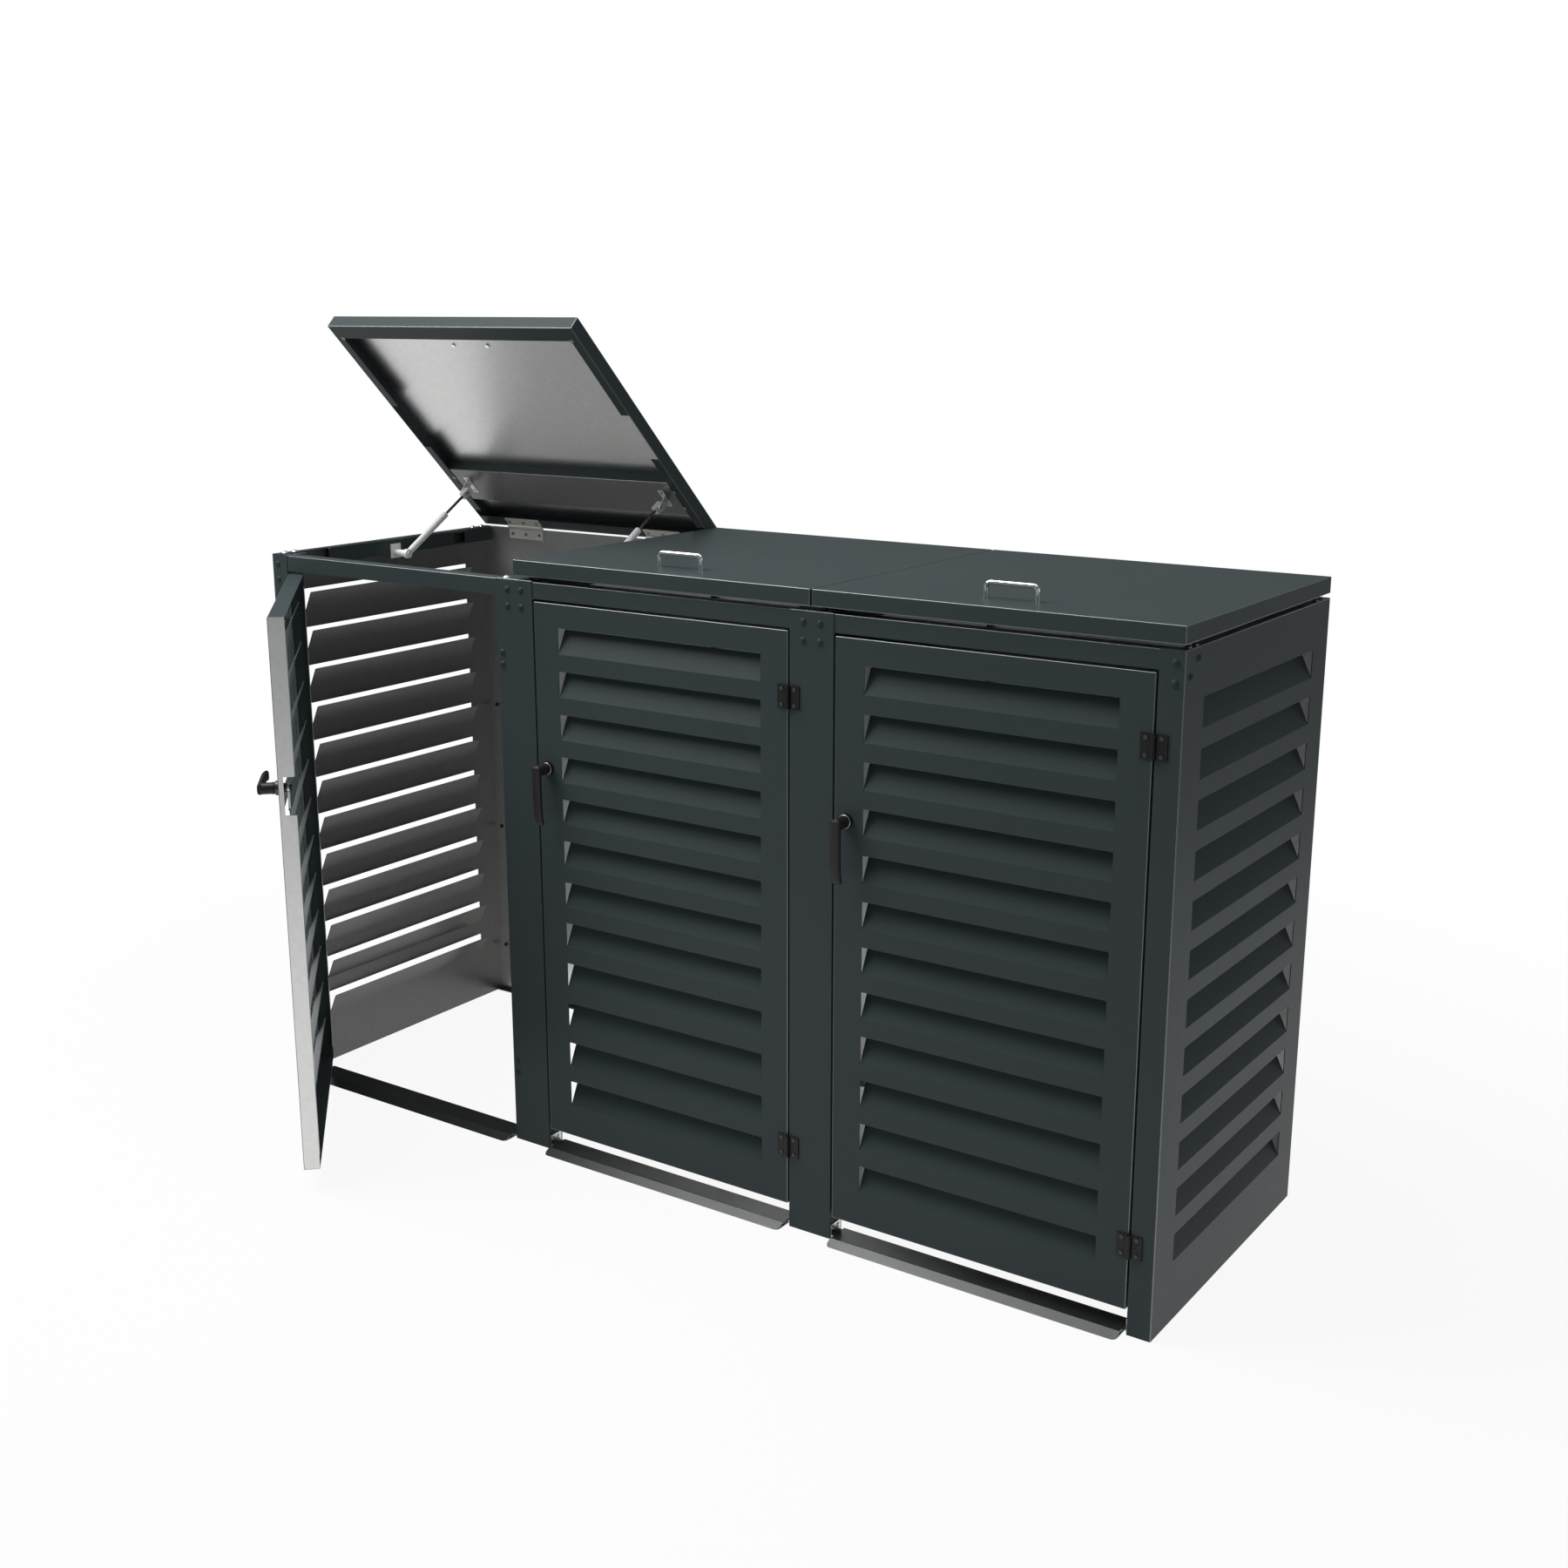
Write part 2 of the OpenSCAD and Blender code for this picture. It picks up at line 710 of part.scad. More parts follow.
// Angles at the ends of the sills, screwed to the folded sides of the bays
module sill_brackets() {
    top = sill_h - sill_t;
    color(zinc) {
        difference() {
            for (x = bay_xs, s = [-1, 1]) translate([x, 0, 0]) sided(s) union() {
                block([bay_w / 2 - bracket_t, bay_w / 2], sill_leg_y, [0, sill_leg_h]);
                block([bay_w / 2 - sill_shelf, bay_w / 2], sill_leg_y,
                    [top - bracket_t, top]);
            }
            sill_screw_holes();
        }
        at_sill_screws() screw(screw_head_r, screw_head_h, sill_screw_l);
    }
}

// Foot plates with the ground anchor holes, inside the posts and corner strips
module foot_plates() {
    strip_x = half_w - strip_w + sheet_t;
    color(zinc) {
        for (x = post_xs) foot_plate([x - post_w / 2 + sheet_t, x + post_w / 2 - sheet_t]);
        for (s = [-1, 1]) sided(s) foot_plate([strip_x, wall_x]);
    }
}

module foot_plate(x) {
    difference() {
        union() {
            block(x, [sheet_t, fold_d - sheet_t], [0, foot_t]);
            block(x, [sheet_t, sheet_t + foot_t], [0, foot_leg_h]);
        }
        translate([(x[0] + x[1]) / 2, anchor_y, -cut]) cylinder(r = anchor_r, h = foot_t + 2 * cut);
    }
}

// Black dome bolts on the front, the sides and the back
module panel_bolts() {
    color(black) {
        at_front(front_bolts) dome_bolt(front_grip);
        at_front(edge_bolts) dome_bolt(sheet_t);
        at_sides() dome_bolt(sheet_t + bracket_t);
        at_back(rear_bolts) dome_bolt(2 * sheet_t);
    }
}

// Zinc bolts on the top flanges
module top_bolts() {
    color(zinc) {
        at_top(top_front_places) dome_bolt(front_grip);
        at_top(concat(top_rear_places, top_post_places)) dome_bolt(2 * sheet_t);
    }
}

// Middles of the two hinges of a lid, and the parts of a knuckle row along the axis
function lid_hinge_middle() = lid_w / 2 - lid_leaf_in - lid_leaf_l / 2;
function outer_thirds(length) = [[-length / 2, -length / 6 - play], [length / 6 + play, length / 2]];
function middle_third(length) = [[-length / 6, length / 6]];

module at_lid_hinges() {
    for (s = [-1, 1]) translate([s * lid_hinge_middle(), 0, 0]) children();
}

// Knuckles of a lid hinge over the given ranges
module lid_knuckles(ranges, r) {
    for (x = ranges) translate([x[0], lid_hinge_y, lid_hinge_z]) rotate([0, 90, 0])
        cylinder(r = r, h = x[1] - x[0]);
}

module at_lid_leaf_screws(bay) {
    translate([bay_xs[bay], 0, 0]) at_lid_hinges() for (i = [-1 : 1])
        translate([i * lid_screw_step, back_y - lid_leaf_t, lid_screw_z])
            rotate([-90, 0, 0]) children();
}

// Fixed leaves of the lid hinges on the back panels, with their pins and screws
module lid_hinge_fixed_leaves() {
    half = lid_leaf_l / 2;
    room = lid_knuckle_r + play;
    color(zinc) for (bay = [0 : 2]) {
        translate([bay_xs[bay], 0, 0]) at_lid_hinges() {
            difference() {
                union() {
                    block([-half, half], [back_y - lid_leaf_t, back_y],
                        [lid_hinge_z - lid_leaf_drop, lid_hinge_z]);
                    lid_knuckles(outer_thirds(lid_leaf_l), lid_knuckle_r);
                }
                block([-lid_leaf_l / 6 - play, lid_leaf_l / 6 + play],
                    [lid_hinge_y, back_y + cut], [lid_hinge_z - room, lid_hinge_z + cut]);
                lid_knuckles([[-half - cut, half + cut]], lid_pin_r + fit);
                for (i = [-1 : 1]) translate([i * lid_screw_step, back_y - lid_leaf_t - cut,
                    lid_screw_z]) rotate([-90, 0, 0])
                    cylinder(r = screw_r + hole_fit, h = lid_leaf_t + 2 * cut);
            }
            lid_knuckles([[-half, half]], lid_pin_r);
        }
        at_lid_leaf_screws(bay) screw(screw_head_r, screw_head_h, screw_l);
    }
}

// Moving leaves of the lid hinges under the lid's rear return, with their screws
module lid_hinge_leaves(bay) {
    half = lid_leaf_l / 2;
    room = lid_knuckle_r + play;
    front = lid_hinge_y - lid_leaf_w;
    color(zinc) on_lid(bay) at_lid_hinges() {
        difference() {
            union() {
                block([-half, half], [front, lid_hinge_y], [lid_z0 - lid_leaf_t, lid_z0]);
                lid_knuckles(middle_third(lid_leaf_l), lid_knuckle_r);
            }
            for (s = [-1, 1]) sided(s) block([lid_leaf_l / 6, half + cut],
                [lid_hinge_y - room, lid_hinge_y + cut], [lid_z0 - room, lid_z0 + cut]);
            lid_knuckles([[-half - cut, half + cut]], lid_pin_r + fit);
            at_lid_return_screws() translate([0, 0, -cut])
                cylinder(r = screw_r + hole_fit, h = lid_leaf_t + 2 * cut);
        }
        at_lid_return_screws() screw(screw_head_r, screw_head_h, lid_leaf_t + 2 * sheet_t);
    }
}

module at_lid_return_screws() {
    for (i = [-1 : 1])
        translate([i * lid_screw_step, lid_hinge_y - lid_screw_back, lid_z0 - lid_leaf_t])
            children();
}

// Lid: a tray of folded sheet with returns under its edges
module lid(bay) {
    half = lid_w / 2;
    sheet_z = [lid_z0, lid_z0 + sheet_t];
    side_x = [half - lid_side_return, half];
    color(paint) on_lid(bay) difference() {
        union() {
            block([-half, half], [lid_y0, lid_y1], [lid_z1 - sheet_t, lid_z1]);
            block([-half, half], [lid_y0, lid_y0 + sheet_t], [lid_z0, lid_z1]);
            block([-half, half], [lid_y1 - sheet_t, lid_y1], [lid_z0, lid_z1]);
            block([-half, half], [lid_y0, lid_y0 + lid_front_return], sheet_z);
            block([-half, half], [lid_rear_return_y, lid_y1], sheet_z);
            for (s = [-1, 1]) sided(s) {
                block([half - sheet_t, half], [lid_y0, lid_y1], [lid_z0, lid_z1]);
                block(side_x, [lid_y0, side_return_gap[0]], sheet_z);
                block(side_x, [side_return_gap[1], side_return_end], sheet_z);
            }
        }
        for (s = [-1, 1]) translate([s * handle_pitch / 2, handle_y, lid_z0])
            cylinder(r = lid_screw_r + hole_fit, h = lid_h + cut);
        at_lid_hinges() at_lid_return_screws() cylinder(r = screw_r + hole_fit, h = lid_h / 2);
    }
}

// Brace: a wide channel across the underside, standing on the side returns
module lid_brace(bay) {
    half = lid_w / 2 - sheet_t - brace_end_gap;
    foot = lid_z0 + sheet_t;
    color(paint) on_lid(bay) union() {
        block([-half, half], [brace_y, brace_y + brace_w], [foot, foot + sheet_t]);
        for (y = [brace_y, brace_y + brace_w - sheet_t])
            block([-half, half], [y, y + sheet_t], [foot, lid_z1 - sheet_t]);
    }
}

// Bow handle with its two screws from inside the lid
module lid_handle(bay) {
    r = handle_bar_d / 2;
    half = handle_pitch / 2;
    top = handle_h - r;
    color(chrome) on_lid(bay) translate([0, handle_y, lid_z1]) {
        union() {
            for (s = [-1, 1]) sided(s) {
                difference() {
                    translate([half, 0, 0]) cylinder(r = r, h = top - handle_bend_r);
                    translate([half, 0, -cut])
                        cylinder(r = lid_screw_r + hole_fit, h = top - handle_bend_r - r + cut);
                }
                translate([half - handle_bend_r, 0, top - handle_bend_r]) rotate([90, 0, 0])
                    rotate_extrude(angle = 90) translate([handle_bend_r, 0]) circle(r);
            }
            translate([handle_bend_r - half, 0, top]) rotate([0, 90, 0])
                cylinder(r = r, h = handle_pitch - 2 * handle_bend_r);
        }
        for (s = [-1, 1]) translate([s * half, 0, -sheet_t - lid_screw_head_h]) union() {
            cylinder(r = lid_screw_head_r, h = lid_screw_head_h);
            cylinder(r = lid_screw_r, h = lid_screw_head_h + sheet_t + handle_bend_r);
        }
    }
}

// Studs of the struts on the side and middle rails
module strut_rail_brackets() {
    color(zinc) for (bay = [0 : 2], s = [-1, 1]) {
        outside = (bay == 0 && s < 0) || (bay == 2 && s > 0);
        face = outside ? wall_x - side_rail_w - pitch : (pitch - mid_rail_w) / 2;
        tip = strut_x - eye_w / 2 - play;
        translate([bay_xs[bay], strut_foot_y, strut_foot_z]) sided(s) union() {
            block([face - stud_plate_t, face], [-stud_plate_w / 2, stud_plate_w / 2],
                [-stud_plate_drop, stud_plate_h - stud_plate_drop]);
            translate([tip, 0, 0]) rotate([0, 90, 0])
                cylinder(r = stud_r, h = face - stud_plate_t / 2 - tip);
            translate([tip - stud_cap_t, 0, 0]) rotate([0, 90, 0])
                cylinder(r = stud_cap_r, h = stud_cap_t);
            translate([strut_x + eye_w / 2 + play, 0, 0]) rotate([0, 90, 0])
                cylinder(r = stud_sleeve_r, h = face - strut_x - eye_w / 2 - play);
        }
    }
}

// Lays a strut's piece, drawn along +Y from its foot, in the strut's place and angle
module on_strut(bay) {
    for (s = [-1, 1]) translate([bay_xs[bay], 0, 0]) sided(s)
        translate([strut_x, strut_foot_y, strut_foot_z]) rotate([strut_angle(lid_open(bay)), 0, 0])
            children();
}

// Tube of a strut with the eye that turns on its stud
module strut_tubes(bay) {
    color(zinc) on_strut(bay) difference() {
        union() {
            translate([-eye_w / 2, 0, 0]) rotate([0, 90, 0]) cylinder(r = eye_r, h = eye_w);
            block([-eye_w / 2, eye_w / 2], [0, tube_start], [-eye_w / 2, eye_w / 2]);
            translate([0, tube_start, 0]) rotate([-90, 0, 0])
                cylinder(r = tube_r, h = tube_l - tube_start);
        }
        translate([-eye_w / 2 - cut, 0, 0]) rotate([0, 90, 0])
            cylinder(r = stud_r + fit, h = eye_w + 2 * cut);
        translate([0, tube_floor, 0]) rotate([-90, 0, 0])
            cylinder(r = rod_r + fit, h = tube_l - tube_floor + cut);
    }
}

// Rod of a strut with the block at its head, beside the tab of the lid's bracket
module strut_rods(bay) {
    closed_l = strut_length(0);
    slide = strut_length(lid_open(bay)) - closed_l;
    color(bare_metal) on_strut(bay) translate([0, slide, 0]) difference() {
        union() {
            translate([0, rod_start, 0]) rotate([-90, 0, 0])
                cylinder(r = rod_r, h = closed_l - rod_start);
            block([-rod_block_w / 2, rod_block_w / 2],
                [closed_l - rod_block_l / 2, closed_l + rod_block_l / 2],
                [-rod_block_h / 2, rod_block_h / 2]);
        }
        translate([-rod_block_w / 2 - cut, closed_l, 0]) rotate([0, 90, 0])
            cylinder(r = stud_r, h = rod_block_w + 2 * cut);
    }
}

// Brackets of the struts under the lid's brace: a slotted plate with a tab
module strut_lid_brackets(bay) {
    tab_x = strut_x + rod_block_w / 2 + tab_gap;
    top = lid_z0 + sheet_t;
    color(zinc) on_lid(bay) for (s = [-1, 1]) sided(s) difference() {
        union() {
            block([tab_x + tab_t - lid_plate_w, tab_x + tab_t], lid_plate_y,
                [top - lid_plate_t, top]);
            block([tab_x, tab_x + tab_t], [strut_head_y - tab_r, strut_head_y + tab_r],
                [strut_head_z, top]);
            translate([tab_x, strut_head_y, strut_head_z]) rotate([0, 90, 0])
                cylinder(r = tab_r, h = tab_t);
        }
        translate([tab_x - cut, strut_head_y, strut_head_z]) rotate([0, 90, 0])
            cylinder(r = stud_r, h = tab_t + 2 * cut);
        for (y = [lid_plate_y[0] + lid_slot_in, lid_plate_y[1] - lid_slot_in])
            lid_slot(tab_x - (lid_plate_w - tab_t) / 2, y, top);
    }
}

module lid_slot(x, y, top) {
    run = (lid_slot_l - lid_slot_w) / 2;
    translate([x, y, top - lid_plate_t - cut]) linear_extrude(lid_plate_t + 2 * cut) {
        square([lid_slot_w, 2 * run], center = true);
        for (s = [-1, 1]) translate([0, s * run]) circle(lid_slot_w / 2);
    }
}

// Door: a tray of folded sheet with louvres, a lip behind each upright edge and the cam's cut
module door(bay) {
    half = door_w / 2;
    lip_z = [door_foot + door_lip_short, door_top - door_lip_short];
    color(paint) on_door(bay) union() {
        difference() {
            union() {
                block([-half, half], [0, sheet_t], [door_foot, door_top]);
                block([-half, half], [0, door_d], [door_foot, door_foot + sheet_t]);
                block([-half, half], [0, door_d], [door_top - sheet_t, door_top]);
                for (s = [-1, 1]) sided(s) {
                    block([half - sheet_t, half], [0, door_d], [door_foot, door_top]);
                    block([half - door_lip_w, half], [door_d - sheet_t, door_d], lip_z);
                }
            }
            windows(door_windows);
            door_screw_holes(-1);
            translate([latch_x, -cut, latch_z]) rotate([-90, 0, 0])
                cylinder(r = latch_body_r + hole_fit, h = sheet_t + 2 * cut);
            block([-half - cut, door_lip_w + cut - half], [cam_y - cam_room_y, door_d + cut],
                [latch_z - cam_room_down, latch_z + cam_room_up]);
        }
        flaps(door_windows);
    }
}

// Knuckles of a door hinge over the given ranges, about the middle of the hinge
module door_knuckles(ranges, r) {
    for (z = ranges) translate([door_hinge_x, door_hinge_y, z[0]])
        cylinder(r = r, h = z[1] - z[0]);
}

// One leaf of a door hinge: side 1 is on the frame and side -1 on the door
module door_leaf(side, own, others) {
    half = door_leaf_h / 2;
    room = door_knuckle_r + play;
    for (z = door_hinge_zs) translate([0, 0, z]) difference() {
        union() {
            translate([door_hinge_x, 0, 0]) sided(side)
                block([play, door_leaf_w], [-door_leaf_t, 0], [-half, half]);
            door_knuckles(own, door_knuckle_r);
        }
        for (o = others) translate([door_hinge_x, 0, 0])
            block([-room, room], [-door_leaf_t - cut, cut], [o[0] - play, o[1] + play]);
        door_knuckles([[-half - cut, half + cut]], door_pin_r + fit);
        for (s = [-1, 1]) translate([door_hinge_x + side * door_screw_dx, -door_leaf_t - cut,
            s * door_screw_dz]) rotate([-90, 0, 0])
            cylinder(r = screw_r + hole_fit, h = door_leaf_t + 2 * cut);
    }
    at_door_screws(side) screw(screw_head_r, screw_head_h, screw_l);
}

// Frame leaves of all the door hinges, with their pins and screws
module door_hinge_frame_leaves() {
    half = door_leaf_h / 2;
    color(black) for (bay = [0 : 2]) frame_hinge_side(bay) {
        door_leaf(1, outer_thirds(door_leaf_h), middle_third(door_leaf_h));
        for (z = door_hinge_zs) translate([0, 0, z]) door_knuckles([[-half, half]], door_pin_r);
    }
}

module door_hinge_leaves(bay) {
    color(black) on_door(bay)
        door_leaf(-1, middle_third(door_leaf_h), outer_thirds(door_leaf_h));
}

// Latch: the rose on the door's face and the body clamped through it
module door_latch(bay) {
    color(black) on_door(bay) translate([latch_x, 0, latch_z]) rotate([-90, 0, 0]) difference() {
        union() {
            translate([0, 0, -rose_h]) cylinder(r = rose_r, h = rose_h);
            cylinder(r = latch_body_r, h = cam_y - play);
            translate([0, 0, sheet_t]) cylinder(r = latch_nut_r, h = latch_nut_h, $fn = 6);
        }
        translate([0, 0, -rose_h - cut])
            cylinder(r = spindle_r + fit, h = rose_h + cam_y + 2 * cut);
    }
}

// Lever with its neck and spindle, and the nut that holds the cam
module door_handle(bay) {
    neck = rose_h + play;
    color(black) on_lever(bay) union() {
        rotate([90, 0, 0]) {
            translate([0, 0, neck])
                cylinder(r = lever_neck_r, h = lever_reach * lever_side_shares[0][0] - neck);
            translate([0, 0, -cam_y - cam_t - cam_nut_h])
                cylinder(r = spindle_r, h = cam_y + cam_t + cam_nut_h + neck + lever_neck_r);
            translate([0, 0, -cam_y - cam_t - cam_nut_h])
                cylinder(r = cam_nut_r, h = cam_nut_h, $fn = 6);
        }
        intersection() {
            along_x(-lever_w / 2, lever_w)
                polygon([for (p = lever_side_shares) [-p[0] * lever_reach, -p[1] * lever_l]]);
            upright(-lever_reach - cut, lever_reach) lever_front();
        }
    }
}

// Front outline of the lever, with round ends
module lever_front() {
    r = lever_w / 2;
    translate([-r, r - lever_l]) square([lever_w, lever_l - r]);
    circle(r + cut);
    translate([0, r - lever_l]) circle(r);
}

// Cam on the end of the spindle, which closes behind the upright
module door_cam(bay) {
    half = cam_w / 2;
    color(bare_metal) on_lever(bay) upright(cam_y, cam_t) difference() {
        union() {
            translate([half - cam_l, -half]) square([cam_l - half, cam_w]);
            translate([half - cam_l, 0]) circle(half);
            circle(cam_w * 5 / 7);
        }
        circle(spindle_r + fit);
    }
}

side_panel(-1);  // side_panel_left
side_panel(1);  // side_panel_right
back_panel(0);  // back_panel_left
back_panel(1);  // back_panel_middle
back_panel(2);  // back_panel_right
front_post(0);  // front_post_left
front_post(1);  // front_post_right
front_rail(0);  // front_rail_left
front_rail(1);  // front_rail_middle
front_rail(2);  // front_rail_right
sill(0);  // sill_left
sill(1);  // sill_middle
sill(2);  // sill_right
side_rail(-1);  // side_rail_left
side_rail(1);  // side_rail_right
mid_rails();
corner_brackets();
sill_brackets();
foot_plates();
panel_bolts();
top_bolts();
lid_hinge_fixed_leaves();
door_hinge_frame_leaves();
strut_rail_brackets();
lid(0);  // lid_left
lid(1);  // lid_middle
lid(2);  // lid_right
lid_brace(0);  // lid_brace_left
lid_brace(1);  // lid_brace_middle
lid_brace(2);  // lid_brace_right
lid_handle(0);  // lid_handle_left
lid_handle(1);  // lid_handle_middle
lid_handle(2);  // lid_handle_right
lid_hinge_leaves(0);  // lid_hinge_leaves_left
lid_hinge_leaves(1);  // lid_hinge_leaves_middle
lid_hinge_leaves(2);  // lid_hinge_leaves_right
strut_lid_brackets(0);  // strut_lid_brackets_left
strut_lid_brackets(1);  // strut_lid_brackets_middle
strut_lid_brackets(2);  // strut_lid_brackets_right
strut_tubes(0);  // strut_tubes_left
strut_tubes(1);  // strut_tubes_middle
strut_tubes(2);  // strut_tubes_right
strut_rods(0);  // strut_rods_left
strut_rods(1);  // strut_rods_middle
strut_rods(2);  // strut_rods_right
door(0);  // door_left
door(1);  // door_middle
door(2);  // door_right
door_hinge_leaves(0);  // door_hinge_leaves_left
door_hinge_leaves(1);  // door_hinge_leaves_middle
door_hinge_leaves(2);  // door_hinge_leaves_right
door_latch(0);  // door_latch_left
door_latch(1);  // door_latch_middle
door_latch(2);  // door_latch_right
door_handle(0);  // door_handle_left
door_handle(1);  // door_handle_middle
door_handle(2);  // door_handle_right
door_cam(0);  // door_cam_left
door_cam(1);  // door_cam_middle
door_cam(2);  // door_cam_right
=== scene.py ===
"""Dresses the packed three-bay louvred store in its folded sheets and finishes, and sets its stage."""

import json
from math import pi, radians

import bmesh
import bpy
import numpy as np
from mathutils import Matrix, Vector


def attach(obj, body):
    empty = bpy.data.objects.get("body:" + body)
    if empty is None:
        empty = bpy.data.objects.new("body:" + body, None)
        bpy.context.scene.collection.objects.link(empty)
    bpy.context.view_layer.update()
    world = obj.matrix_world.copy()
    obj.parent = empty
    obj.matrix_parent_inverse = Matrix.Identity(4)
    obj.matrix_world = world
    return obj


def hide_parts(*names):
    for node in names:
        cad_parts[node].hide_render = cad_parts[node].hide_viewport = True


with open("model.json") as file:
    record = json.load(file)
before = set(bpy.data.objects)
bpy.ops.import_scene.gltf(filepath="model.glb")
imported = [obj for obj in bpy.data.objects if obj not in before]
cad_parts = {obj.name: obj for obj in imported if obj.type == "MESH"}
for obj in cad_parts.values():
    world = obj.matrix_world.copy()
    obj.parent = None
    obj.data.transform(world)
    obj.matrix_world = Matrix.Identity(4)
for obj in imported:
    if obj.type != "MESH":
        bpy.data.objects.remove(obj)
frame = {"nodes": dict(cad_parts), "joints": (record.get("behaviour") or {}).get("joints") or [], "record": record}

bl_info = {
    "name": "Three-Bay Louvred Store",
    "version": (1, 0, 0),
    "blender": (4, 5, 0),
    "location": "3D View > Sidebar > Store",
    "description": "Dresses the packed store in its sheets and finishes, and sets its stage",
    "category": "Object",
}

NODES = frame["nodes"]
JOINTS = {joint["name"]: joint for joint in frame["joints"]}
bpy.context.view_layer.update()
RECORD_SLOTS = {part["node"]: part["material_slot"] for part in frame["record"]["subparts"]}
BAYS = ("left", "middle", "right")
MM = 0.001
LEFT_LID_OPEN = -radians(JOINTS["lid_left_hinge"]["range_deg"][0])

# The sheets that are folded, with the body each belongs to
SHEETS = {
    "frame": [
        "side_panel_left", "side_panel_right",
        "back_panel_left", "back_panel_middle", "back_panel_right",
        "front_post_left", "front_post_right",
        "front_rail_left", "front_rail_middle", "front_rail_right",
        "side_rail_left", "side_rail_right", "mid_rails",
    ],
}
for _bay in BAYS:
    SHEETS[f"lid_{_bay}"] = [f"lid_{_bay}", f"lid_brace_{_bay}"]
    SHEETS[f"door_{_bay}"] = [f"door_{_bay}"]

# The finish of each CAD node that keeps its own shape
FITTINGS = {
    "zinc_fittings": ["top_bolts", "corner_brackets", "sill_brackets", "foot_plates"],
    "black_fixings": ["panel_bolts"],
    "latch_rose": [f"door_latch_{b}" for b in BAYS],
    "cam_steel": [f"door_cam_{b}" for b in BAYS],
    "chrome_bow": [f"lid_handle_{b}" for b in BAYS],
    "strut_tube": ["strut_rail_brackets", *(f"strut_tubes_{b}" for b in BAYS)],
    "strut_bracket": [f"strut_lid_brackets_{b}" for b in BAYS],
    "sill_coat": ["sill_left", "sill_middle", "sill_right"],
}

# CAD nodes that show two finishes: node, body, finish, finish of its screws or rods
TWO_FINISHES = [
    ("lid_hinge_fixed_leaves", "frame", "hinge_steel", "screw_steel"),
    ("door_hinge_frame_leaves", "frame", "black_hinges", "hinge_screws"),
]
for _bay in BAYS:
    TWO_FINISHES += [
        (f"lid_hinge_leaves_{_bay}", f"lid_{_bay}", "hinge_steel", "screw_steel"),
        (f"door_hinge_leaves_{_bay}", f"door_{_bay}", "black_hinges", "hinge_screws"),
        (f"strut_rods_{_bay}", f"strut_rods_{_bay}", "strut_bracket", "strut_rod"),
    ]


# ---------------------------------------------------------------- sizes and colours


def colour(name, description, value):
    """A colour that the sidebar can change."""
    return bpy.props.FloatVectorProperty(
        name=name, description=description, subtype="COLOR", size=3, min=0, max=1, default=value
    )


def length(name, description, value):
    """A length in metres that the sidebar can change."""
    return bpy.props.FloatProperty(
        name=name, description=description, subtype="DISTANCE", unit="LENGTH", min=0, default=value
    )


def share(name, description, value):
    """A share between none and all that the sidebar can change."""
    return bpy.props.FloatProperty(
        name=name, description=description, subtype="FACTOR", min=0, max=1, default=value
    )


def power(name, description, value):
    """A lamp's power that the sidebar can change."""
    return bpy.props.FloatProperty(name=name, description=description, unit="POWER", min=0, default=value)


class StoreFinishes(bpy.types.PropertyGroup):
    """Colours of the coated, bare and plated surfaces."""

    coat: colour("Coat", "Powder coat of the sheets", (0.0385, 0.0500, 0.0535))
    coat_light: colour("Coat, light", "Lighter cloud in the powder coat", (0.0415, 0.0535, 0.0570))
    # Painted shade: the sills' coat is drawn darker than the rest of the coat to stand for the shade on them; its
    # higher gloss is the coat's own.
    sill: colour("Coat, sills", "Glossier coat of the sills", (0.016, 0.020, 0.021))
    # Painted light: the inside of a door is drawn about ten times lighter than its coat outside, to stand for
    # light that does not reach into its tray.
    inner: colour("Coat, inner", "Thin coat inside the doors", (0.34, 0.40, 0.42))
    # The bends' coat is glossier, which is its own, and a little lighter than the flats, which is a painted
    # highlight.
    bend: colour("Coat, bends", "Glossier coat on the outer bends", (0.045, 0.057, 0.061))
    bare: colour("Bare sheet", "Inner faces that carry no coat", (0.68, 0.68, 0.67))
    bare_light: colour("Bare sheet, light", "Lighter grains of the bare sheet", (0.72, 0.72, 0.71))
    # Painted shade: the inside of the side panels is drawn as a darker copy of the bare sheet; under the braces
    # the darker sheet is their own finish.
    wall: colour(
        "Inner walls", "Dark bare sheet inside the side panels and under the braces", (0.16, 0.16, 0.157)
    )
    zinc: colour("Zinc", "Plated bolts and brackets", (0.66, 0.67, 0.68))
    steel: colour("Hinge steel", "Satin leaves of the lid hinges", (0.66, 0.65, 0.60))
    screw: colour("Screws", "Plain screws in the lid hinges and lids", (0.34, 0.34, 0.33))
    bolt: colour("Bolt coat", "Black dome bolts", (0.022, 0.033, 0.036))
    hinge: colour("Hinge coat", "Brown-black leaves of the door hinges", (0.0100, 0.0083, 0.0081))
    hinge_screw: colour("Hinge screws", "Screws of the door hinges", (0.034, 0.041, 0.042))
    lever: colour("Lever", "Moulded lever handles", (0.0175, 0.0140, 0.0145))
    rose: colour("Rose", "Collar under a lever", (0.10, 0.10, 0.10))
    # Painted highlight: the ring's light tone stands for light caught by the rose's edge.
    ring: colour("Ring", "Bright ring on the rose", (0.50, 0.50, 0.49))
    chrome: colour("Chrome", "Handles of the lids", (0.90, 0.90, 0.90))
    tube: colour("Strut tube", "Tubes and end pieces of the struts", (0.82, 0.82, 0.82))
    bracket: colour("Strut bracket", "Brackets and end blocks of the struts", (0.82, 0.82, 0.81))
    rod: colour("Strut rod", "Ground rods of the struts", (0.16, 0.15, 0.14))


class StoreFolds(bpy.types.PropertyGroup):
    """Bends of the folded sheets."""

    radius: length("Bend radius", "Outer radius of a bend, under the sheet's thickness", 1.4 * MM)
    segments: bpy.props.IntProperty(
        name="Segments", description="Faces across a bend", min=1, max=8, default=3
    )
    strip: length("Edge width", "Faces narrower than this are cut edges, not bends", 2.3 * MM)


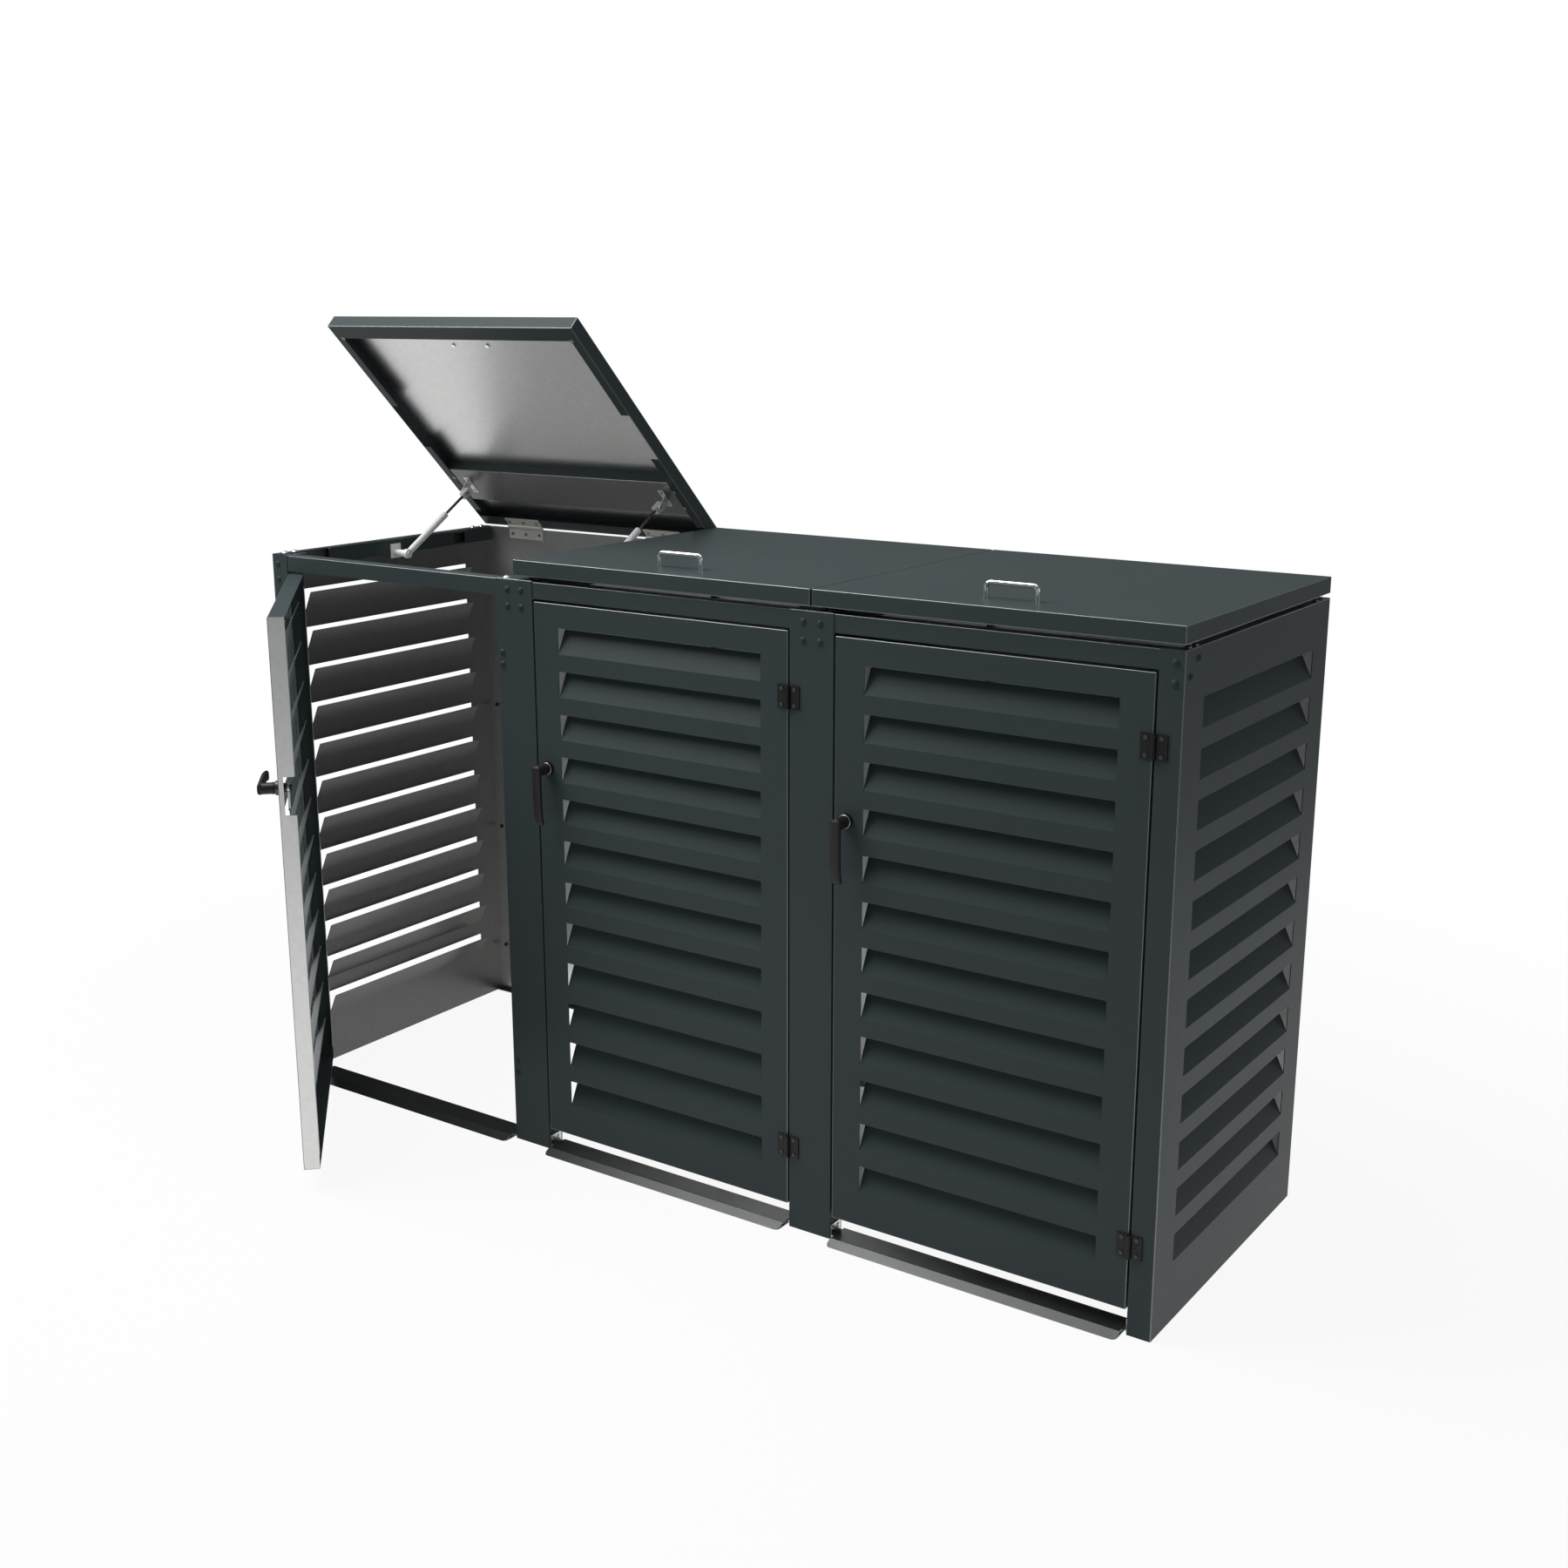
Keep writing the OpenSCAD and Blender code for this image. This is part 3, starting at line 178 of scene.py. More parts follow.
class StoreLever(bpy.types.PropertyGroup):
    """Door lever: a neck and a flat grip that hooks back towards the door."""

    neck_radius: length("Neck radius", "Radius of the neck", 11.0 * MM)
    collar_radius: length("Collar radius", "Radius of the neck at the rose", 11.4 * MM)
    # The bright ring is a painted highlight of the rose's edge.
    ring_radius: length("Ring radius", "Outer radius of the bright ring on the rose", 12.3 * MM)
    ring_wire: length("Ring wire", "Thickness of the bright ring", 1.8 * MM)
    ring_height: length("Ring height", "Height of the bright ring over the door's face", 5.6 * MM)
    corner_power: bpy.props.FloatProperty(
        name="Squareness", description="Squareness of the grip's section, 2 is round", min=2, max=8,
        default=3.2,
    )


class StoreFittings(bpy.types.PropertyGroup):
    """Screws, leaves and rods of the bought-in fittings."""

    screw_span: length("Screw span", "A loose solid of a hinge shorter than this is a screw", 12.5 * MM)
    rod_radius: length("Rod radius", "Radius within which a strut's face belongs to its rod", 3.3 * MM)
    leaf_edge: length("Leaf edge width", "Faces of a leaf narrower than this keep a sharp edge", 3 * MM)
    edge_radius: length("Leaf edge radius", "Radius of the edges of a leaf", 0.3 * MM)


class StoreScrews(bpy.types.PropertyGroup):
    """Screws in the returns under a lid."""

    head_radius: length("Head radius", "Radius of a screw head", 4.4 * MM)
    head_height: length("Head height", "Height of a screw head", 1.7 * MM)
    socket_radius: length("Socket radius", "Radius of the socket in a head", 1.9 * MM)
    side_in: length("From the side", "Distance from a lid's side to its screws", 20 * MM)
    front_in: length("From the front", "Distance from a lid's front to its front screws", 36 * MM)
    rear_in: length("From the back", "Distance from a lid's back to its rear screws", 117 * MM)
    rear_step: length("Rear step", "Distance between the two rear screws of a side", 52 * MM)


class StoreStage(bpy.types.PropertyGroup):
    """Camera, floor and lamps."""

    lens: bpy.props.FloatProperty(
        name="Lens", description="Focal length on a 36 mm sensor", unit="CAMERA", default=43.30
    )
    camera_place: bpy.props.FloatVectorProperty(
        name="Camera place", description="Where the camera stands", subtype="XYZ", unit="LENGTH",
        default=(2.1296, -2.6859, 1.6845),
    )
    camera_turn: bpy.props.FloatVectorProperty(
        name="Camera turn", description="How the camera is turned", subtype="EULER",
        default=(radians(75.793), 0, radians(34.45)),
    )
    floor_reach: length("Floor reach", "Half the width of the floor", 14.0)
    floor_colour: colour("Floor colour", "Pale floor", (0.80, 0.80, 0.80))
    floor_white: share(
        "Floor white", "Share of plain white in the floor near the store, as the camera sees it", 0.92
    )
    floor_near: share(
        "Floor near", "Share of plain white in the floor near the store, as a mirror sees it", 0.84
    )
    floor_far: share("Floor far", "Share of plain white in the far floor, as a mirror sees it", 0.12)
    sky_colour: colour("Sky colour", "Colour of the soft light from all round", (0.90, 0.98, 1.0))
    sky: bpy.props.FloatProperty(
        name="Sky", description="Strength of the soft light from all round", min=0, default=0.16
    )
    softbox: power("Softbox", "Power of the soft lamp over the left front", 185)
    ceiling: power("Ceiling", "Power of the wide lamp overhead", 30)
    fill: power("Fill", "Power of the wide lamp on the right", 14)


# ---------------------------------------------------------------- surfaces


def closed_skin(rings):
    """Skin over rings of points, one after another, closed by a face over the first and the last ring.

    rings[i, j] is point j of ring i, and the skin has a face between points (i, j), (i, j + 1),
    (i + 1, j + 1) and (i + 1, j). The volume is the sum of p0 . (p1 x p2) / 6 over the triangles of
    the faces; where it comes out negative, each face is read the other way round.
    """
    count, around, _ = rings.shape
    row, step = np.arange(count - 1)[:, None] * around, np.arange(around)[None, :]
    a, b = row + step, row + (step + 1) % around
    quads = np.stack([a, b, b + around, a + around], axis=-1).reshape(-1, 4)
    first, last = np.arange(around)[::-1], np.arange(around) + (count - 1) * around
    points = rings.reshape(-1, 3)
    middle = points.mean(axis=0)
    fans = [quads[:, [0, 1, 2]], quads[:, [0, 2, 3]]] + [
        np.stack([np.full(around - 2, cap[0]), cap[1:-1], cap[2:]], axis=-1) for cap in (first, last)
    ]
    p0, p1, p2 = (points[np.concatenate(fans)[:, i]] - middle for i in range(3))
    faces = quads.tolist() + [first.tolist(), last.tolist()]
    if np.einsum("ij,ij->i", p0, np.cross(p1, p2)).sum() < 0:
        faces = [face[::-1] for face in faces]
    return points, faces


def turned(profile, centre, axis, around=40):
    """Turned piece: profile rows are (radius, height), and a point is
    centre + height * axis + radius * (cos t * u + sin t * v), with u and v square to the axis."""
    axis = np.asarray(axis, float) / np.linalg.norm(axis)
    u = np.cross(axis, (0.31, 0.57, 0.76))
    u /= np.linalg.norm(u)
    v = np.cross(axis, u)
    t = np.linspace(0, 2 * pi, around, endpoint=False)[None, :, None]
    radius, height = (np.asarray(profile, float)[:, i, None, None] for i in (0, 1))
    return closed_skin(centre + height * axis + radius * (np.cos(t) * u + np.sin(t) * v))


def swept(path, widths, depths, side, power, around=32):
    """Bar along a path: the section at each point of the path is the curve
    side * w / 2 * sgn(cos t) |cos t| ^ (2 / power) + n * d / 2 * sgn(sin t) |sin t| ^ (2 / power),
    with n square to the path and to side. Power 2 gives an ellipse, and more squares it off."""
    along = np.gradient(path, axis=0)
    along /= np.linalg.norm(along, axis=1, keepdims=True)
    normal = np.cross(along, side)
    t = np.linspace(0, 2 * pi, around, endpoint=False)[None, :, None]
    across = np.sign(np.cos(t)) * np.abs(np.cos(t)) ** (2 / power)
    through = np.sign(np.sin(t)) * np.abs(np.sin(t)) ** (2 / power)
    return closed_skin(
        path[:, None, :]
        + side * across * widths[:, None, None] / 2
        + normal[:, None, :] * through * depths[:, None, None] / 2
    )


def smooth_path(corners, count):
    """Curve through the corner points: each coordinate is a Catmull-Rom cubic of the running length."""
    corners = np.asarray(corners, float)
    ends = np.vstack([2 * corners[0] - corners[1], corners, 2 * corners[-1] - corners[-2]])
    s = np.linspace(0, len(corners) - 1 - 1e-9, count)
    i, f = s.astype(int), (s % 1)[:, None]
    p0, p1, p2, p3 = (ends[i + k] for k in range(4))
    bow, twist = 2 * p0 - 5 * p1 + 4 * p2 - p3, 3 * p1 - p0 - 3 * p2 + p3
    return 0.5 * (2 * p1 + (p2 - p0) * f + bow * f**2 + twist * f**3)


def piece(name, shells, material, body, smooth_under=radians(35)):
    """One mesh from closed shells, shaded smooth except at edges sharper than the angle."""
    points, faces, start = [], [], 0
    for shell_points, shell_faces in shells:
        points.append(shell_points)
        faces += [[start + i for i in face] for face in shell_faces]
        start += len(shell_points)
    mesh = bpy.data.meshes.new(name)
    mesh.from_pydata(np.concatenate(points).tolist(), [], faces)
    mesh.validate()
    mesh.materials.append(material)
    mesh.shade_smooth()
    mesh.set_sharp_from_angle(angle=smooth_under)
    made = bpy.data.objects.new(name, mesh)
    bpy.context.scene.collection.objects.link(made)
    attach(made, body)
    return made


# ---------------------------------------------------------------- finishes


class Finish:
    """A material and the few nodes that its patterns are made with, all on Object coordinates."""

    def __init__(self, name, metallic, specular=0.5, coat=0.0):
        self.material = bpy.data.materials.new(name)
        self.material.use_nodes = True
        self.tree = self.material.node_tree
        self.shader = self.tree.nodes["Principled BSDF"]
        self.shader.inputs["Metallic"].default_value = metallic
        self.shader.inputs["Specular IOR Level"].default_value = specular
        self.shader.inputs["Coat Weight"].default_value = coat
        self.shader.inputs["Coat Roughness"].default_value = 0.25
        self.shader.inputs["Coat IOR"].default_value = 1.8
        self.place = self.tree.nodes.new("ShaderNodeTexCoord").outputs["Object"]

    def link(self, source, target):
        self.tree.links.new(source, target)

    def stretched(self, scale):
        """Object coordinates, stretched for grain that runs one way."""
        mapping = self.tree.nodes.new("ShaderNodeMapping")
        mapping.inputs["Scale"].default_value = scale
        self.link(self.place, mapping.inputs["Vector"])
        return mapping.outputs["Vector"]

    def noise(self, scale, detail=2.0, vector=None):
        node = self.tree.nodes.new("ShaderNodeTexNoise")
        node.inputs["Scale"].default_value = scale
        node.inputs["Detail"].default_value = detail
        node.inputs["Roughness"].default_value = 0.5
        self.link(vector or self.place, node.inputs["Vector"])
        return node.outputs["Fac"]

    def cells(self, scale):
        """One value for each cell, as in zinc spangle."""
        node = self.tree.nodes.new("ShaderNodeTexVoronoi")
        node.inputs["Scale"].default_value = scale
        self.link(self.place, node.inputs["Vector"])
        value = self.tree.nodes.new("ShaderNodeSeparateColor")
        self.link(node.outputs["Color"], value.inputs["Color"])
        return value.outputs["Red"]

    def between(self, factor, low, high, from_low=0.3, from_high=0.7):
        """A number that follows the factor from low to high."""
        node = self.tree.nodes.new("ShaderNodeMapRange")
        node.inputs["From Min"].default_value, node.inputs["From Max"].default_value = from_low, from_high
        node.inputs["To Min"].default_value, node.inputs["To Max"].default_value = low, high
        self.link(factor, node.inputs["Value"])
        return node.outputs["Result"]

    def blend(self, factor, first, second):
        """A colour between two, colours or sockets."""
        node = self.tree.nodes.new("ShaderNodeMix")
        node.data_type = "RGBA"
        self.link(factor, node.inputs["Factor"])
        for socket, value in ((node.inputs[6], first), (node.inputs[7], second)):
            if isinstance(value, bpy.types.NodeSocket):
                self.link(value, socket)
            else:
                socket.default_value = (*value, 1)
        return node.outputs[2]

    def bump(self, height, strength, distance):
        node = self.tree.nodes.new("ShaderNodeBump")
        node.inputs["Strength"].default_value = strength
        node.inputs["Distance"].default_value = distance
        self.link(height, node.inputs["Height"])
        return node.outputs["Normal"]

    def finish(self, base, roughness, normal):
        self.link(base, self.shader.inputs["Base Color"])
        self.link(roughness, self.shader.inputs["Roughness"])
        self.link(normal, self.shader.inputs["Normal"])
        return self.material


def powder_coat(name, dark, light, rough=(0.345, 0.365), specular=0.11, varnish=0.0):
    """Fine-textured powder coat: very soft clouds of two tones, a speckle of grains and their relief."""
    f = Finish(name, metallic=0.0, specular=specular, coat=varnish)
    clouds = f.between(f.noise(2.4, 2.0), 0.0, 1.0)
    speckle = f.between(f.noise(900, 1.0), 0.0, 0.25, 0.45, 0.75)
    base = f.blend(speckle, f.blend(clouds, dark, light), tuple(min(1, 1.5 * c) for c in light))
    relief = f.bump(f.noise(620, 2.0), 0.10, 0.10 * MM)
    return f.finish(base, f.between(f.noise(40, 2.0), *rough), relief)


def bare_sheet(name, dark, light, metallic=1.0):
    """Bare galvanised sheet: a faint spangle a centimetre across, rolling marks and a satin gloss."""
    f = Finish(name, metallic=metallic)
    spangle = f.cells(110)
    rolled = f.noise(60, 2.0, vector=f.stretched((1, 1, 9)))
    base = f.blend(f.between(spangle, 0.0, 1.0, 0.0, 1.0), dark, light)
    rough = f.between(rolled, 0.335, 0.355)
    return f.finish(base, rough, f.bump(f.noise(300, 2.0), 0.02, 0.05 * MM))


def plated(name, tone, rough, grain=(1, 1, 1), metallic=1.0, strength=0.05):
    """Plated or brushed metal: a slight change of tone, and a grain that the scale stretches."""
    f = Finish(name, metallic=metallic)
    streaks = f.noise(420, 2.0, vector=f.stretched(grain))
    base = f.blend(f.between(f.noise(24, 2.0), 0.0, 1.0), tuple(0.92 * c for c in tone), tone)
    return f.finish(base, f.between(streaks, *rough), f.bump(streaks, strength, 0.05 * MM))


def moulded(name, tone, rough=(0.34, 0.44)):
    """Moulded black plastic: a fine leathery grain and a slight bloom."""
    f = Finish(name, metallic=0.0, specular=0.25)
    grain = f.noise(1100, 2.0)
    base = f.blend(f.between(f.noise(45, 2.0), 0.0, 1.0), tone, tuple(1.2 * c for c in tone))
    return f.finish(base, f.between(grain, *rough), f.bump(grain, 0.15, 0.08 * MM))


FINISHES = {}


def coat_node(name, *finishes):
    """Give a CAD node its finishes."""
    mesh = NODES[name].data
    mesh.materials.clear()
    for finish in finishes:
        mesh.materials.append(finish)


class STORE_OT_finishes(bpy.types.Operator):
    """Make the finishes, and give each fitting that keeps its own shape the one it has."""

    bl_idname = "store.finishes"
    bl_label = "Finishes"

    def execute(self, context):
        store = context.scene.store_finishes
        tones = {name: tuple(getattr(store, name)) for name in StoreFinishes.__annotations__}

        def lighter(name, times):
            return tuple(times * c for c in tones[name])

        def coated(label, name, *look):
            return powder_coat(label, tones[name], lighter(name, 1.2), *look)

        FINISHES.update(
            painted_sheet=powder_coat("coated sheet", tones["coat"], tones["coat_light"]),
            # Sills: a darker copy of the coat, painted shade, with a glossier coat of their own
            sill_coat=powder_coat("coated sill", tones["sill"], tones["sill"], (0.30, 0.34), 0.6, 0.6),
            # Door insides: a lighter copy of the coat, painted light
            inner_coat=powder_coat("thin inner coat", tones["inner"], tones["inner"], (0.30, 0.34), 0.4),
            # Bends: a glossier coat of their own, drawn lighter as a painted highlight
            painted_bend=powder_coat(
                "coated bend", tones["bend"], lighter("bend", 1.3), (0.28, 0.32), 1.0, 0.8
            ),
            bare_sheet=bare_sheet("bare sheet", tones["bare"], tones["bare_light"]),
            # Inner walls: darker bare sheet, painted shade inside the side panels, and the braces' own darker
            # finish
            dark_sheet=bare_sheet("dark bare sheet", tones["wall"], lighter("wall", 1.08), 0.5),
            zinc_fittings=plated("bright zinc", tones["zinc"], (0.26, 0.34)),
            hinge_steel=plated(
                "satin hinge steel", tones["steel"], (0.38, 0.46), grain=(0.1, 1, 1), metallic=0.5
            ),
            screw_steel=plated("screw steel", tones["screw"], (0.30, 0.38)),
            black_fixings=coated("black coat, bolts", "bolt", (0.44, 0.48), 0.12),
            black_hinges=coated("black coat, hinges", "hinge", (0.38, 0.42), 0.25),
            hinge_screws=coated("black coat, hinge screws", "hinge_screw", (0.38, 0.42), 0.35),
            black_lever=moulded("moulded lever", tones["lever"]),
            latch_rose=plated("satin rose", tones["rose"], (0.34, 0.42)),
            # Ring: a light tone, painted highlight of the rose's edge
            ring=plated("bright ring", tones["ring"], (0.32, 0.38)),
            cam_steel=plated("plain steel", tones["zinc"], (0.30, 0.38)),
            chrome_bow=plated("chrome", tones["chrome"], (0.05, 0.08), strength=0.005),
            strut_tube=plated("satin strut tube", tones["tube"], (0.30, 0.36), metallic=0.0),
            strut_bracket=plated("bright strut bracket", tones["bracket"], (0.28, 0.34), metallic=0.3),
            strut_rod=plated("ground strut rod", tones["rod"], (0.24, 0.32)),
        )
        for slot, names in FITTINGS.items():
            for name in names:
                coat_node(name, FINISHES[slot])
        return {"FINISHED"}


# ---------------------------------------------------------------- folded sheets

# Faces of a sheet: points nearer than this are one, an angle up to this is flat, and from this a bend
MERGE_GAP = 0.002 * MM
FLAT_ANGLE = radians(0.5)
BEND_ANGLE = radians(55)
# Two faces lie in one plane from this cosine between their normals, and up to this distance
PLANE_COSINE = 0.9999
PLANE_GAP = 0.01 * MM
# A face is filled wrongly when its triangles add up to more than this many times its area
OVERFILL = 1.05
# A door's face belongs to its inner side from this cosine to the direction into its tray
INWARD_COSINE = 0.2
# Edges sharper than this stay sharp on a sheet or a fitting
SHARP_ANGLE = radians(32)


def unfilled(sheet):
    """Planes, each a normal and its reach along it, of the faces that their triangles don't fill
    rightly: round an opening, the areas of the triangles add up to more than the face's own."""
    filled = dict.fromkeys(sheet.faces, 0.0)
    for corners in sheet.calc_loop_triangles():
        a, b, c = (corner.vert.co for corner in corners)
        filled[corners[0].face] += (b - a).cross(c - a).length / 2
    return [
        (face.normal.copy(), face.verts[0].co @ face.normal)
        for face, area in filled.items() if area > OVERFILL * face.calc_area()
    ]


def lies_in(edge, planes):
    """Whether both faces of an edge lie in one of the planes."""
    return any(
        all(
            face.normal @ normal > PLANE_COSINE and abs(face.verts[0].co @ normal - reach) < PLANE_GAP
            for face in edge.link_faces
        )
        for normal, reach in planes
    )


def clean_copy(node, pierced=()):
    """Copy of a CAD node with its loose triangles merged, and flat regions made one face each. The
    pierced planes, where one face would close the openings, keep their triangles."""
    sheet = bmesh.new()
    sheet.from_mesh(NODES[node].data)
    bmesh.ops.remove_doubles(sheet, verts=sheet.verts, dist=MERGE_GAP)
    edges = [edge for edge in sheet.edges if not lies_in(edge, pierced)]
    bmesh.ops.dissolve_limit(
        sheet, angle_limit=FLAT_ANGLE, verts=sheet.verts, edges=edges, use_dissolve_boundaries=False
    )
    return sheet


def bends(sheet, strip):
    """Outer edges between two broad faces that meet at about a right angle. A face's breadth is
    twice its area over its outline's length."""
    breadth = {face: 2 * face.calc_area() / max(face.calc_perimeter(), 1e-9) for face in sheet.faces}
    return [
        edge
        for edge in sheet.edges
        if len(edge.link_faces) == 2
        and edge.is_convex
        and edge.calc_face_angle(0.0) > BEND_ANGLE
        and all(breadth[face] > strip for face in edge.link_faces)
    ]


def free_edge_direction(bay):
    """Level direction from a door's hinge to its free edge, at rest."""
    turn = JOINTS[f"handle_{bay}_turn"]
    outward = np.array(turn["axis"], float)
    reach = np.array(turn["pos_m"]) - JOINTS[f"door_{bay}_hinge"]["pos_m"]
    reach[2] = 0
    reach -= outward * (reach @ outward)
    return reach / np.linalg.norm(reach)


def inward(bay):
    """Level direction into the tray of a door, at rest."""
    turn = JOINTS[f"handle_{bay}_turn"]
    handle = np.array([vert.co for vert in NODES[f"door_handle_{bay}"].data.vertices]).mean(axis=0)
    axis = np.array(turn["axis"], float)
    return -axis * np.sign((handle - turn["pos_m"]) @ axis)


def bare_faces(node, points):
    """Which faces of a sheet carry no coat, as a direction, the least cosine of their normal to it,
    and the lowest and highest reach along it. These are the inner faces of the walls and the back,
    the underside of a lid's skin and of its brace, and the edge of a door that carries the latch."""
    if node.startswith("side_panel"):
        return np.array([1.0 if node.endswith("left") else -1.0, 0, 0]), 0.3, -np.inf, np.inf
    if node.startswith("back_panel"):
        return np.array([0, -1.0, 0]), 0.9, -np.inf, np.inf
    if node.startswith("lid_"):
        turn = LEFT_LID_OPEN if node.endswith("left") else 0.0
        down = np.array([0, -np.sin(turn), -np.cos(turn)])
        return down, 0.99, -np.inf, np.inf if "brace" in node else (points @ down).min() + 3 * MM
    if node.startswith("door_"):
        out = free_edge_direction(node.split("_")[1])
        return out, 0.99, (points @ out).max() - 1 * MM, np.inf
    return None


def dressed_copy(sheet, name, node, body, finishes, slot):
    """Object made from a worked copy of a CAD node, which it then stands for."""
    mesh = bpy.data.meshes.new(name)
    sheet.to_mesh(mesh)
    sheet.free()
    for finish in finishes:
        mesh.materials.append(finish)
    mesh.shade_smooth()
    mesh.set_sharp_from_angle(angle=SHARP_ANGLE)
    made = bpy.data.objects.new(name, mesh)
    bpy.context.scene.collection.objects.link(made)
    weighted = made.modifiers.new("broad faces first", "WEIGHTED_NORMAL")
    weighted.mode = "FACE_AREA"
    weighted.weight = 100
    weighted.keep_sharp = True
    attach(made, body)
    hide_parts(node)
    coat_node(node, *finishes)


def folded_copy(node, folds, pierced=()):
    """Copy of a sheet with its coated and bare faces told apart and its outer bends rounded. Where a
    bend upsets a flat face round an opening, it is made again with that plane kept in triangles."""
    sheet = clean_copy(node, pierced)
    bare = bare_faces(node, np.array([vert.co for vert in sheet.verts]))
    if bare:
        way, cosine, lowest, highest = bare
        for face in sheet.faces:
            reach = np.array(face.calc_center_median()) @ way
            faces_it = np.array(face.normal) @ way > cosine
            face.material_index = int(faces_it and lowest < reach < highest)
    # The rounded bends take the bend finish, whose lighter tone is a painted highlight.
    bmesh.ops.bevel(
        sheet, geom=bends(sheet, folds.strip), offset=folds.radius, offset_type="OFFSET",
        segments=folds.segments, profile=0.5, affect="EDGES", clamp_overlap=False, material=2,
    )
    # Faces of a door that look into its tray take the lighter inner coat, which is painted light.
    if node.startswith("door_"):
        into = inward(node.split("_")[1])
        for face in sheet.faces:
            if np.array(face.normal) @ into > INWARD_COSINE:
                face.material_index = 3
    closed = [] if pierced else unfilled(sheet)
    if closed:
        sheet.free()
        return folded_copy(node, folds, closed)
    return sheet


class STORE_OT_folded_sheets(bpy.types.Operator):
    """Round the bends of every folded sheet, and leave its inner faces bare; a door's inner faces take a lighter
    coat, which is painted light.
    """

    bl_idname = "store.folded_sheets"
    bl_label = "Folded Sheets"

    def execute(self, context):
        folds = context.scene.store_folds
        for body, names in SHEETS.items():
            for name in names:
                sheet = folded_copy(name, folds)
                # Inside the side panels the darker bare sheet is painted shade; under the braces it is their own
                # darker finish.
                dark = name.startswith(("side_panel", "lid_brace"))
                inside = FINISHES["dark_sheet" if dark else "bare_sheet"]
                finishes = [
                    FINISHES["painted_sheet"], inside, FINISHES["painted_bend"], FINISHES["inner_coat"]
                ]
                dressed_copy(sheet, f"folded_{name}", name, body, finishes, "painted_sheet")
        return {"FINISHED"}


# ---------------------------------------------------------------- hinges and struts


def islands(sheet):
    """Sets of faces that hang together."""
    left = set(sheet.faces)
    while left:
        found, edge = set(), {left.pop()}
        while edge:
            found |= edge
            edge = {near for face in edge for line in face.edges for near in line.link_faces} - found
        left -= found
        yield found


def span(faces):
    """Longest side of the box round some faces."""
    points = np.array([vert.co for face in faces for vert in face.verts])
    return (points.max(axis=0) - points.min(axis=0)).max()


def rod_faces(sheet, bay, radius):
    """Faces of a strut's rod: all their corners lie within the radius of its axis, seen along X."""
    _, foot_y, foot_z = JOINTS[f"strut_{bay}_swing"]["pos_m"]
    _, along_y, along_z = JOINTS[f"strut_{bay}_slide"]["axis"]
    return [
        face for face in sheet.faces
        if all(
            abs((v.co[2] - foot_z) * along_y - (v.co[1] - foot_y) * along_z) < radius for v in face.verts
        )
    ]


class STORE_OT_hinges_and_rods(bpy.types.Operator):
    """Tell the screws from the leaves of the hinges, and the ground rods from the blocks on them."""

    bl_idname = "store.hinges_and_rods"
    bl_label = "Hinges and Strut Rods"

    def execute(self, context):
        fittings = context.scene.store_fittings
        for node, body, finish, second in TWO_FINISHES:
            sheet = clean_copy(node)
            if second == "strut_rod":
                for face in rod_faces(sheet, node.split("_")[2], fittings.rod_radius):
                    face.material_index = 1
            else:
                for island in islands(sheet):
                    small = int(span(island) < fittings.screw_span)
                    for face in island:
                        face.material_index = small
                bmesh.ops.bevel(
                    sheet, geom=bends(sheet, fittings.leaf_edge), offset=fittings.edge_radius,
                    offset_type="OFFSET", segments=2, profile=0.5, affect="EDGES", clamp_overlap=False,
                )
            dressed_copy(
                sheet, f"dressed_{node}", node, body, (FINISHES[finish], FINISHES[second]), RECORD_SLOTS[node]
            )
        return {"FINISHED"}


# ---------------------------------------------------------------- levers


def lever_frame(bay):
    """Point on the door's face at the lever's axis, unit directions out of the door, along the grip
    and across it, and the lowest and highest reach of the CAD lever along them."""
    joint = JOINTS[f"handle_{bay}_turn"]
    origin = np.array(joint["pos_m"], float)
    points = np.array([v.co for v in NODES[f"door_handle_{bay}"].data.vertices]) - origin
    out = np.array(joint["axis"], float)
    out *= np.sign((points @ out).max() + (points @ out).min())
    grip = points.mean(axis=0)
    grip -= out * (grip @ out)
    grip /= np.linalg.norm(grip)
    side = np.cross(out, grip)
    local = points @ np.array([out, grip, side]).T
    return origin, out, grip, side, local.min(axis=0), local.max(axis=0)


def ring_skin(line, centre, axis, around=64):
    """Closed ring: the line's points (radius, height) are carried once round the axis, so a point is
    centre + height * axis + radius * (cos t * u + sin t * v), and both ways round close on themselves."""
    u = np.cross(axis, (0.31, 0.57, 0.76))
    u /= np.linalg.norm(u)
    v = np.cross(axis, u)
    t = np.linspace(0, 2 * pi, around, endpoint=False)[:, None, None]
    radius, height = line[None, :, :1], line[None, :, 1:]
    points = centre + height * axis + radius * (np.cos(t) * u + np.sin(t) * v)
    number = np.arange(around * len(line)).reshape(around, len(line))
    turn, step = np.roll(number, -1, axis=0), np.roll(number, -1, axis=1)
    quads = np.stack([number, turn, np.roll(turn, -1, axis=1), step], axis=-1)
    return points.reshape(-1, 3), quads.reshape(-1, 4).tolist()


